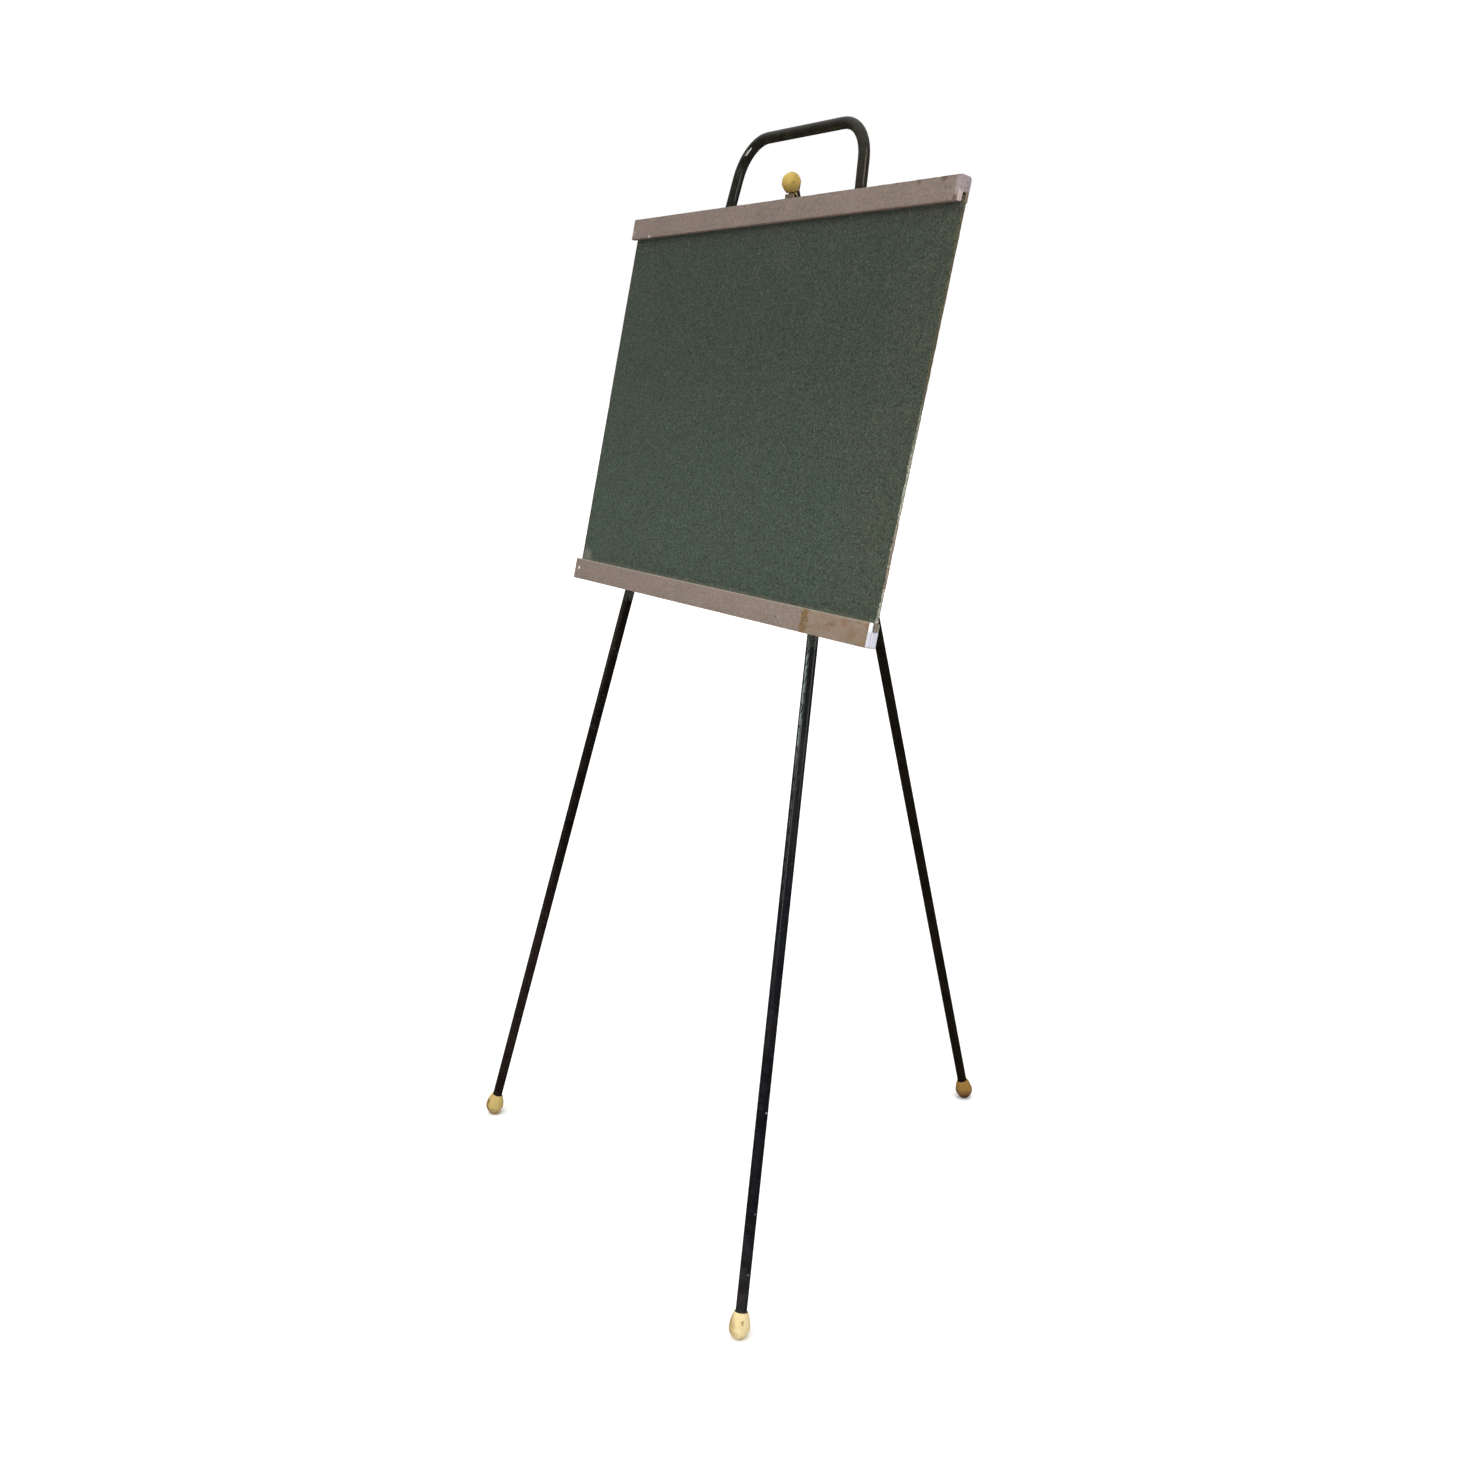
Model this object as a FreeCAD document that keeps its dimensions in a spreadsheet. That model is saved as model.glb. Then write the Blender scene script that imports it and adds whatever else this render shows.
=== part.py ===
import FreeCAD, Part
import math
import os
import Sketcher

# Menu chalkboard easel: a bent steel tube front frame leaning back on a hinged rear leg, two grooved
# wooden rails screwed to the frame, a chalkboard sliding in the grooves, and turned wooden beads on
# the tube ends.  +X runs along the rails, +Y to the rear, +Z up.  The floor is z = 0 and the origin is
# the middle of the rectangle the three feet stand in.
#
# Parts of the front frame are drawn in the frame's own axes (x, back, slope) and tilted together about
# the line through the two front feet; parts of the rear leg are drawn along the leg and tilted about its
# lower end.

DIMS = {
    # front frame
    "FrameLean": 12.4,
    "FootHalfSpread": 373.0,
    "FeetAhead": 361.1,
    "HandleHalfWidth": 134.0,
    "HandleSlope": 1548.0,
    "HandleBend": 58.0,
    "TubeRadius": 7.5,
    "TubeBore": 6.0,
    "LegTubeStart": 22.0,
    # cross bar and hinge ears
    "BarRadius": 5.0,
    "BarSlope": 1412.0,
    "EarThick": 3.0,
    "EarRadius": 9.0,
    "EarGap": 10.4,
    # pivot hardware
    "PivotSlope": 1436.0,
    "BoltRadius": 3.0,
    "BoltHoleRadius": 3.15,
    "LegHoleRadius": 3.05,
    "BoltLength": 37.0,
    "HexRadius": 5.77,
    "BoltHeadThick": 4.0,
    "NutThick": 5.0,
    "SpacerRadius": 7.0,
    "WasherRadius": 6.0,
    "WasherThick": 1.2,
    # rear leg
    "LegPlaneX": -3.0,
    "LegTipSlope": 1493.0,
    "LegTipOut": 8.4,
    "RearFootBack": 723.7,
    # rails
    "RailLength": 740.2,
    "RailThick": 16.0,
    "RailEdge": 1.0,
    "TopRailSlope": 1424.0,
    "TopRailTall": 29.5,
    "TopRailLeft": -374.5,
    "BottomRailSlope": 907.0,
    "BottomRailTall": 30.8,
    "BottomRailLeft": -372.5,
    "GrooveWidth": 5.6,
    "GrooveDepth": 11.0,
    "FrontLip": 5.8,
    # chalkboard
    "BoardLength": 738.0,
    "BoardThick": 4.0,
    "BoardLeft": -368.0,
    "BoardPlay": 0.3,
    "BoardTall": 505.0,
    # stop block behind the top rail
    "BlockWidth": 18.0,
    "BlockMiddle": -2.0,
    "BlockFoot": 1427.0,
    "BlockShoulder": 1451.5,
    "BlockNose": 1466.5,
    "BlockBack": 13.4,
    "BlockGap": 0.3,
    # rail screws
    "ScrewRadius": 2.0,
    "ScrewHoleRadius": 2.3,
    "ScrewHeadRadius": 4.0,
    "ScrewHeadTall": 2.6,
    "ScrewReach": 27.0,
    "ScrewSlot": 1.0,
    "TopScrewSlope": 1444.5,
    "BottomScrewSlope": 918.0,
    # beads: greatest radius, length and tip radius of the nose, height and rim radius of the shoulder
    "RightFootRadius": 13.9,
    "RightFootNose": 14.8,
    "RightFootTip": 12.2,
    "RightFootShoulder": 21.0,
    "RightFootRim": 9.3,
    "LeftFootRadius": 14.1,
    "LeftFootNose": 15.5,
    "LeftFootTip": 11.5,
    "LeftFootShoulder": 19.5,
    "LeftFootRim": 9.4,
    "RearFootRadius": 13.6,
    "RearFootNose": 16.0,
    "RearFootTip": 10.5,
    "RearFootShoulder": 18.5,
    "RearFootRim": 9.0,
    "KnobRadius": 13.1,
    "KnobNose": 13.7,
    "KnobTip": 10.2,
    "KnobShoulder": 10.6,
    "KnobRim": 9.6,
    "FootWear": 0.35,
}

doc = FreeCAD.newDocument("MenuEasel")
sheet = doc.addObject("Spreadsheet::Sheet", "Dims")
for row, (alias, value) in enumerate(DIMS.items(), start=1):
    sheet.set("A%d" % row, alias)
    sheet.set("B%d" % row, str(value))
    sheet.setAlias("B%d" % row, alias)
doc.recompute()

V = FreeCAD.Vector
NODES = []


# ---------------------------------------------------------------- shared geometry

lean = math.radians(DIMS["FrameLean"])
frame_tilt = FreeCAD.Rotation(V(1, 0, 0), -DIMS["FrameLean"])
frame_base = V(0, -DIMS["FeetAhead"], 0)


def leg_x(slope):
    """Half distance between the front legs' centre lines at a height along the slope."""
    spread = DIMS["FootHalfSpread"] - DIMS["HandleHalfWidth"]
    return DIMS["FootHalfSpread"] - spread * slope / DIMS["HandleSlope"]


def frame_point(x, back, slope):
    """World position of a point given in the front frame's own axes."""
    return frame_base + frame_tilt.multVec(V(x, back, slope))


splay = math.atan2(DIMS["FootHalfSpread"] - DIMS["HandleHalfWidth"], DIMS["HandleSlope"])
leg_foot = V(DIMS["LegPlaneX"], DIMS["RearFootBack"], 0) + frame_base
leg_tip = frame_point(DIMS["LegPlaneX"], -DIMS["LegTipOut"], DIMS["LegTipSlope"])
leg_angle = math.atan2(leg_foot.y - leg_tip.y, leg_tip.z)
leg_length = (leg_tip - leg_foot).Length
leg_tilt = FreeCAD.Rotation(V(1, 0, 0), math.degrees(leg_angle))
open_angle = lean + leg_angle
leg_rate = math.tan(open_angle)


def leg_back(slope):
    """Distance of the open rear leg's centre line behind the frame plane, at a slope height."""
    return (DIMS["LegTipSlope"] - slope) * leg_rate - DIMS["LegTipOut"]


pivot_back = leg_back(DIMS["PivotSlope"])
pivot_along = (frame_point(DIMS["LegPlaneX"], pivot_back, DIMS["PivotSlope"]) - leg_foot).Length


# ---------------------------------------------------------------- helpers

def bind(obj, **sizes):
    for prop, formula in sizes.items():
        obj.setExpression(prop, formula)


def new_body(label):
    body = doc.addObject("PartDesign::Body", label)
    body.Label = label
    return body


def origin_plane(body, role):
    return next(f for f in body.Origin.OriginFeatures if f.Role == role)


def new_sketch(body, name, role, offset=None):
    sketch = body.newObject("Sketcher::SketchObject", name)
    sketch.AttachmentSupport = (origin_plane(body, role), [""])
    sketch.MapMode = "FlatFace"
    if offset is not None:
        sketch.AttachmentOffset = offset
    return sketch


def add_circle(sketch, radius_formula, radius, centre=(0, 0), centre_formulas=(None, None)):
    """Circle whose radius, and centre where given, follow the spreadsheet."""
    index = sketch.addGeometry(Part.Circle(V(centre[0], centre[1], 0), V(0, 0, 1), radius), False)
    number = sketch.addConstraint(Sketcher.Constraint("Radius", index, radius))
    sketch.setExpression("Constraints[%d]" % number, radius_formula)
    if centre_formulas == (None, None):
        sketch.addConstraint(Sketcher.Constraint("Coincident", index, 3, -1, 1))
        return index
    for kind, value, formula in zip(("DistanceX", "DistanceY"), centre, centre_formulas):
        number = sketch.addConstraint(Sketcher.Constraint(kind, -1, 1, index, 3, value))
        if formula is not None:
            sketch.setExpression("Constraints[%d]" % number, formula)
    return index


def add_polygon(sketch, corners):
    """Closed polygon; each corner is ((x, formula), (y, formula)) measured from the sketch origin."""
    points = [V(x[0], y[0], 0) for x, y in corners]
    first = None
    for i, start in enumerate(points):
        edge = sketch.addGeometry(Part.LineSegment(start, points[(i + 1) % len(points)]), False)
        first = edge if first is None else first
    count = len(points)
    for i in range(count):
        sketch.addConstraint(Sketcher.Constraint("Coincident", first + i, 2, first + (i + 1) % count, 1))
    for i, (x, y) in enumerate(corners):
        for kind, (value, formula) in (("DistanceX", x), ("DistanceY", y)):
            number = sketch.addConstraint(Sketcher.Constraint(kind, -1, 1, first + i, 1, value))
            if formula is not None:
                sketch.setExpression("Constraints[%d]" % number, formula)
    return first


def pad(body, sketch, name, formula, **props):
    feature = body.newObject("PartDesign::Pad", name)
    feature.Profile = sketch
    feature.setExpression("Length", formula)
    for prop, value in props.items():
        setattr(feature, prop, value)
    sketch.Visibility = False
    body.Tip = feature
    return feature


def pocket_both_ways(body, sketch, name, formula):
    """Pocket cut to both sides of its sketch plane."""
    feature = body.newObject("PartDesign::Pocket", name)
    feature.Profile = sketch
    feature.Type = 0
    feature.Midplane = True
    feature.setExpression("Length", formula)
    sketch.Visibility = False
    body.Tip = feature
    return feature


def primitive(kind, name, placement=None, **sizes):
    obj = doc.addObject(kind, name)
    for prop, formula in sizes.items():
        obj.setExpression(prop, formula)
    if placement is not None:
        obj.Placement = placement
    return obj


def combine(kind, label, base, tool):
    obj = doc.addObject(kind, label)
    obj.Label = label
    obj.Base = base
    obj.Tool = tool
    return obj


def keep(obj):
    NODES.append(obj)
    return obj


in_frame = FreeCAD.Placement(frame_base, frame_tilt)
on_leg = FreeCAD.Placement(leg_foot, leg_tilt)


# ---------------------------------------------------------------- front frame tube

def build_front_frame():
    """One tube: left leg, bend, handle bar, bend, right leg."""
    body = new_body("front_frame")
    bend = DIMS["HandleBend"]
    top = DIMS["HandleSlope"]
    setback = bend * math.tan((math.pi / 2 - splay) / 2)
    start_slope = DIMS["LegTubeStart"]
    start_x = leg_x(start_slope)
    corner = DIMS["HandleHalfWidth"]
    bar_end = corner - setback
    leg_end = V(corner + setback * math.sin(splay), top - setback * math.cos(splay), 0)

    path = new_sketch(body, "front_frame_path", "XZ_Plane")
    right_leg = path.addGeometry(Part.LineSegment(V(start_x, start_slope, 0), leg_end), False)
    right_bend = path.addGeometry(
        Part.ArcOfCircle(Part.Circle(V(bar_end, top - bend, 0), V(0, 0, 1), bend), splay, math.pi / 2), False
    )
    bar = path.addGeometry(Part.LineSegment(V(bar_end, top, 0), V(-bar_end, top, 0)), False)
    left_bend = path.addGeometry(
        Part.ArcOfCircle(
            Part.Circle(V(-bar_end, top - bend, 0), V(0, 0, 1), bend), math.pi / 2, math.pi - splay
        ),
        False,
    )
    left_leg = path.addGeometry(
        Part.LineSegment(V(-leg_end.x, leg_end.y, 0), V(-start_x, start_slope, 0)), False
    )
    path.addConstraint(Sketcher.Constraint("Tangent", right_leg, 2, right_bend, 1))
    path.addConstraint(Sketcher.Constraint("Tangent", right_bend, 2, bar, 1))
    path.addConstraint(Sketcher.Constraint("Tangent", bar, 2, left_bend, 1))
    path.addConstraint(Sketcher.Constraint("Tangent", left_bend, 2, left_leg, 1))
    x_formula = (
        "Dims.FootHalfSpread - (Dims.FootHalfSpread - Dims.HandleHalfWidth)"
        " * Dims.LegTubeStart / Dims.HandleSlope"
    )
    for line, point, sign in ((right_leg, 1, 1), (left_leg, 2, -1)):
        number = path.addConstraint(Sketcher.Constraint("DistanceX", -1, 1, line, point, sign * start_x))
        path.setExpression("Constraints[%d]" % number, ("" if sign > 0 else "-1 * ") + "(" + x_formula + ")")
        number = path.addConstraint(Sketcher.Constraint("DistanceY", -1, 1, line, point, start_slope))
        path.setExpression("Constraints[%d]" % number, "Dims.LegTubeStart")
    for arc in (right_bend, left_bend):
        number = path.addConstraint(Sketcher.Constraint("Radius", arc, bend))
        path.setExpression("Constraints[%d]" % number, "Dims.HandleBend")
    number = path.addConstraint(Sketcher.Constraint("DistanceY", -1, 1, bar, 1, top))
    path.setExpression("Constraints[%d]" % number, "Dims.HandleSlope")
    number = path.addConstraint(Sketcher.Constraint("DistanceX", -1, 1, bar, 1, bar_end))
    path.setExpression(
        "Constraints[%d]" % number,
        "Dims.HandleHalfWidth - Dims.HandleBend * tan((90deg - atan((Dims.FootHalfSpread"
        " - Dims.HandleHalfWidth) / Dims.HandleSlope)) / 2)",
    )
    path.addConstraint(Sketcher.Constraint("Symmetric", bar, 1, bar, 2, -2))
    path.Visibility = False

    section_place = FreeCAD.Placement(
        V(start_x, 0, start_slope), FreeCAD.Rotation(V(0, 1, 0), -math.degrees(splay))
    )
    section = new_sketch(body, "front_frame_section", "XY_Plane", section_place)
    add_circle(section, "Dims.TubeRadius", DIMS["TubeRadius"])
    add_circle(section, "Dims.TubeBore", DIMS["TubeBore"])
    section.Visibility = False
    doc.recompute()

    tube = body.newObject("PartDesign::AdditivePipe", "front_frame_tube")
    tube.Profile = section
    tube.Spine = path
    tube.SpineTangent = False
    tube.Mode = 0
    body.Tip = tube
    doc.recompute()

    holes = new_sketch(body, "front_frame_holes", "XZ_Plane")
    for slope_name in ("TopScrewSlope", "BottomScrewSlope"):
        slope = DIMS[slope_name]
        for sign in (1, -1):
            x_text = (
                "%d * (Dims.FootHalfSpread - (Dims.FootHalfSpread - Dims.HandleHalfWidth)"
                " * Dims.%s / Dims.HandleSlope)" % (sign, slope_name)
            )
            add_circle(
                holes,
                "Dims.ScrewHoleRadius",
                DIMS["ScrewHoleRadius"],
                (sign * leg_x(slope), slope),
                (x_text, "Dims." + slope_name),
            )
    pocket_both_ways(body, holes, "front_frame_screw_holes", "4 * Dims.TubeRadius")
    body.Placement = in_frame
    return keep(body)


# ---------------------------------------------------------------- rails and chalkboard

def build_rail(label, prefix, groove_up):
    """Rail with a groove along the edge that faces the board and a pilot hole at each leg."""
    body = new_body(label)
    thick = DIMS["RailThick"]
    tall = DIMS[prefix + "RailTall"]
    depth = DIMS["GrooveDepth"]
    front = (-thick, "-1 * Dims.RailThick")
    lip = (-thick + DIMS["FrontLip"], "Dims.FrontLip - Dims.RailThick")
    wall = (lip[0] + DIMS["GrooveWidth"], "Dims.FrontLip + Dims.GrooveWidth - Dims.RailThick")
    back = (0.0, None)
    tall_name = "Dims.%sRailTall" % prefix
    if groove_up:
        open_edge = (tall, tall_name)
        floor = (tall - depth, tall_name + " - Dims.GrooveDepth")
        closed_edge = (0.0, None)
    else:
        open_edge = (0.0, None)
        floor = (depth, "Dims.GrooveDepth")
        closed_edge = (tall, tall_name)
    section = new_sketch(body, label + "_section", "YZ_Plane")
    corners = [
        (front, closed_edge),
        (front, open_edge),
        (lip, open_edge),
        (lip, floor),
        (wall, floor),
        (wall, open_edge),
        (back, open_edge),
        (back, closed_edge),
    ]
    add_polygon(section, corners)
    doc.recompute()
    length = pad(body, section, label + "_length", "Dims.RailLength")
    doc.recompute()

    pilots = new_sketch(body, label + "_pilots", "XZ_Plane")
    slope_name = prefix + "ScrewSlope"
    for sign in (1, -1):
        x_text = (
            "%d * (Dims.FootHalfSpread - (Dims.FootHalfSpread - Dims.HandleHalfWidth)"
            " * Dims.%s / Dims.HandleSlope) - Dims.%sRailLeft" % (sign, slope_name, prefix)
        )
        add_circle(
            pilots,
            "Dims.ScrewRadius",
            DIMS["ScrewRadius"],
            (sign * leg_x(DIMS[slope_name]) - DIMS[prefix + "RailLeft"],
             DIMS[slope_name] - DIMS[prefix + "RailSlope"]),
            (x_text, "Dims.%s - Dims.%sRailSlope" % (slope_name, prefix)),
        )
    squared = pocket_both_ways(
        body, pilots, label + "_pilot_holes", "2 * (Dims.ScrewReach - 2 * Dims.TubeRadius + 0.2)"
    )
    doc.recompute()

    corners_of_length = []
    for number, edge in enumerate(squared.Shape.Edges, start=1):
        box = edge.BoundBox
        if box.XLength < 0.9 * DIMS["RailLength"]:
            continue
        outer_y = abs(box.YMin) < 1e-6 or abs(box.YMin + thick) < 1e-6
        if outer_y:
            corners_of_length.append("Edge%d" % number)
    rounding = body.newObject("PartDesign::Fillet", label + "_edges")
    rounding.Base = (squared, corners_of_length)
    rounding.setExpression("Radius", "Dims.RailEdge")
    body.Tip = rounding
    body.Placement = FreeCAD.Placement(
        frame_point(DIMS[prefix + "RailLeft"], -DIMS["TubeRadius"], DIMS[prefix + "RailSlope"]), frame_tilt
    )
    return keep(body)


def build_board():
    """Flat panel in both grooves, leaning back, with a little play behind and below it."""
    groove_floor = DIMS["BottomRailSlope"] + DIMS["BottomRailTall"] - DIMS["GrooveDepth"]
    groove_back = -DIMS["TubeRadius"] - DIMS["RailThick"] + DIMS["FrontLip"] + DIMS["GrooveWidth"]
    board_back = groove_back - DIMS["BoardPlay"]
    board = primitive(
        "Part::Box",
        "chalkboard",
        FreeCAD.Placement(
            frame_point(
                DIMS["BoardLeft"], board_back - DIMS["BoardThick"], groove_floor + DIMS["BoardPlay"]
            ),
            frame_tilt,
        ),
        Length="Dims.BoardLength",
        Width="Dims.BoardThick",
        Height="Dims.BoardTall",
    )
    board.Label = "chalkboard"
    return keep(board)


# ---------------------------------------------------------------- hinge at the top rail

def build_cross_bar():
    """Round bar between the front legs, its ends shaped to the legs' outsides."""
    reach = leg_x(DIMS["BarSlope"]) + 2
    rod = primitive(
        "Part::Cylinder",
        "cross_bar_rod",
        FreeCAD.Placement(V(-reach, 0, DIMS["BarSlope"]), FreeCAD.Rotation(V(0, 1, 0), 90)),
        Radius="Dims.BarRadius",
        Height="2 * (Dims.FootHalfSpread - (Dims.FootHalfSpread - Dims.HandleHalfWidth)"
        " * Dims.BarSlope / Dims.HandleSlope + 2)",
    )
    legs = []
    for side, sign in (("left", -1), ("right", 1)):
        low = DIMS["BarSlope"] - 60
        legs.append(
            primitive(
                "Part::Cylinder",
                "cross_bar_%s_fit" % side,
                FreeCAD.Placement(
                    V(sign * leg_x(low), 0, low),
                    FreeCAD.Rotation(V(0, 1, 0), -sign * math.degrees(splay)),
                ),
                Radius="Dims.TubeRadius",
                Height="120",
            )
        )
    both = combine("Part::Fuse", "cross_bar_fits", legs[0], legs[1])
    bar = combine("Part::Cut", "cross_bar", rod, both)
    bar.Placement = in_frame
    return keep(bar)


def build_ear(label, side):
    """Flat lug on the cross bar with a round end about the pivot."""
    body = new_body(label)
    reach_back = pivot_back
    reach_up = DIMS["PivotSlope"] - DIMS["BarSlope"]
    length = math.hypot(reach_back, reach_up)
    radius = DIMS["EarRadius"]
    outline = new_sketch(body, label + "_outline", "YZ_Plane")
    low = outline.addGeometry(
        Part.ArcOfCircle(Part.Circle(V(0, 0, 0), V(0, 0, 1), radius), math.pi, 2 * math.pi), False
    )
    right = outline.addGeometry(Part.LineSegment(V(radius, 0, 0), V(radius, length, 0)), False)
    high = outline.addGeometry(
        Part.ArcOfCircle(Part.Circle(V(0, length, 0), V(0, 0, 1), radius), 0, math.pi), False
    )
    left = outline.addGeometry(Part.LineSegment(V(-radius, length, 0), V(-radius, 0, 0)), False)
    outline.addConstraint(Sketcher.Constraint("Tangent", low, 2, right, 1))
    outline.addConstraint(Sketcher.Constraint("Tangent", right, 2, high, 1))
    outline.addConstraint(Sketcher.Constraint("Tangent", high, 2, left, 1))
    outline.addConstraint(Sketcher.Constraint("Tangent", left, 2, low, 1))
    outline.addConstraint(Sketcher.Constraint("Coincident", low, 3, -1, 1))
    outline.addConstraint(Sketcher.Constraint("Vertical", right))
    outline.addConstraint(Sketcher.Constraint("DistanceY", -1, 1, high, 3, length))
    number = outline.addConstraint(Sketcher.Constraint("Radius", low, radius))
    outline.setExpression("Constraints[%d]" % number, "Dims.EarRadius")
    add_circle(outline, "Dims.BarRadius", DIMS["BarRadius"])
    add_circle(outline, "Dims.BoltHoleRadius", DIMS["BoltHoleRadius"], (0, length), ("0 * 1mm", None))
    doc.recompute()
    pad(body, outline, label + "_plate", "Dims.EarThick")
    x = DIMS["LegPlaneX"] + (DIMS["EarGap"] if side > 0 else -DIMS["EarGap"] - DIMS["EarThick"])
    swing = FreeCAD.Rotation(V(1, 0, 0), -math.degrees(math.atan2(reach_back, reach_up)))
    body.Placement = FreeCAD.Placement(frame_point(x, 0, DIMS["BarSlope"]), frame_tilt.multiply(swing))
    return keep(body)


def pivot_place(x):
    """Placement whose local Z runs along +X through the pivot, starting at x from the leg's plane."""
    turn = frame_tilt.multiply(FreeCAD.Rotation(V(0, 1, 0), 90))
    return FreeCAD.Placement(
        frame_point(DIMS["LegPlaneX"] + x, pivot_back, DIMS["PivotSlope"]), turn
    )


def build_pivot_hardware():
    outer = DIMS["EarGap"] + DIMS["EarThick"]
    head = primitive(
        "Part::Prism",
        "pivot_bolt_head",
        pivot_place(-outer - DIMS["BoltHeadThick"]),
        Circumradius="Dims.HexRadius",
        Height="Dims.BoltHeadThick",
    )
    head.Polygon = 6
    shank = primitive(
        "Part::Cylinder",
        "pivot_bolt_shank",
        pivot_place(-outer),
        Radius="Dims.BoltRadius",
        Height="Dims.BoltLength",
    )
    keep(combine("Part::Fuse", "pivot_bolt", head, shank))

    def ring(label, start, radius, thick, bore, hexagon=False):
        if hexagon:
            solid = primitive(
                "Part::Prism", label + "_blank", pivot_place(start), Circumradius=radius, Height=thick
            )
            solid.Polygon = 6
        else:
            solid = primitive(
                "Part::Cylinder", label + "_blank", pivot_place(start), Radius=radius, Height=thick
            )
        hole = primitive(
            "Part::Cylinder", label + "_bore", pivot_place(start - 1), Radius=bore, Height=thick + " + 2"
        )
        return keep(combine("Part::Cut", label, solid, hole))

    spacer = "Dims.EarGap - Dims.TubeRadius - Dims.BlockGap"
    ring("left_spacer", -DIMS["EarGap"], "Dims.SpacerRadius", spacer, "Dims.BoltHoleRadius")
    ring("right_spacer", DIMS["TubeRadius"] + DIMS["BlockGap"], "Dims.SpacerRadius", spacer,
         "Dims.BoltHoleRadius")
    ring("pivot_washer", outer, "Dims.WasherRadius", "Dims.WasherThick", "Dims.BoltHoleRadius")
    ring("pivot_nut", outer + DIMS["WasherThick"], "Dims.HexRadius", "Dims.NutThick",
         "Dims.BoltRadius", True)


def build_stop_block():
    """Wedge glued behind the top rail; its sloping back is what the open rear leg leans on."""
    body = new_body("stop_block")
    face = -DIMS["TubeRadius"]
    clearance = (DIMS["TubeRadius"] + DIMS["BlockGap"]) / math.cos(open_angle)
    nose_back = leg_back(DIMS["BlockNose"]) - clearance
    heel_slope = DIMS["LegTipSlope"] - (DIMS["BlockBack"] + clearance + DIMS["LegTipOut"]) / leg_rate
    section = new_sketch(body, "stop_block_section", "YZ_Plane")
    corners = [
        ((face, "-1 * Dims.TubeRadius"), (DIMS["BlockFoot"], "Dims.BlockFoot")),
        ((face, "-1 * Dims.TubeRadius"), (DIMS["BlockShoulder"], "Dims.BlockShoulder")),
        ((nose_back + 0.8, None), (DIMS["BlockShoulder"] + 3.5, "Dims.BlockShoulder + 3.5")),
        ((nose_back - 1.6, None), (DIMS["BlockNose"] - 0.4, "Dims.BlockNose - 0.4")),
        ((nose_back, None), (DIMS["BlockNose"], "Dims.BlockNose")),
        ((DIMS["BlockBack"], "Dims.BlockBack"), (heel_slope, None)),
        ((DIMS["BlockBack"], "Dims.BlockBack"), (DIMS["BlockFoot"], "Dims.BlockFoot")),
    ]
    add_polygon(section, corners)
    doc.recompute()
    pad(body, section, "stop_block_width", "Dims.BlockWidth")
    body.Placement = FreeCAD.Placement(
        frame_point(DIMS["BlockMiddle"] - DIMS["BlockWidth"] / 2, 0, 0), frame_tilt
    )
    return keep(body)


# ---------------------------------------------------------------- screws

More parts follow.
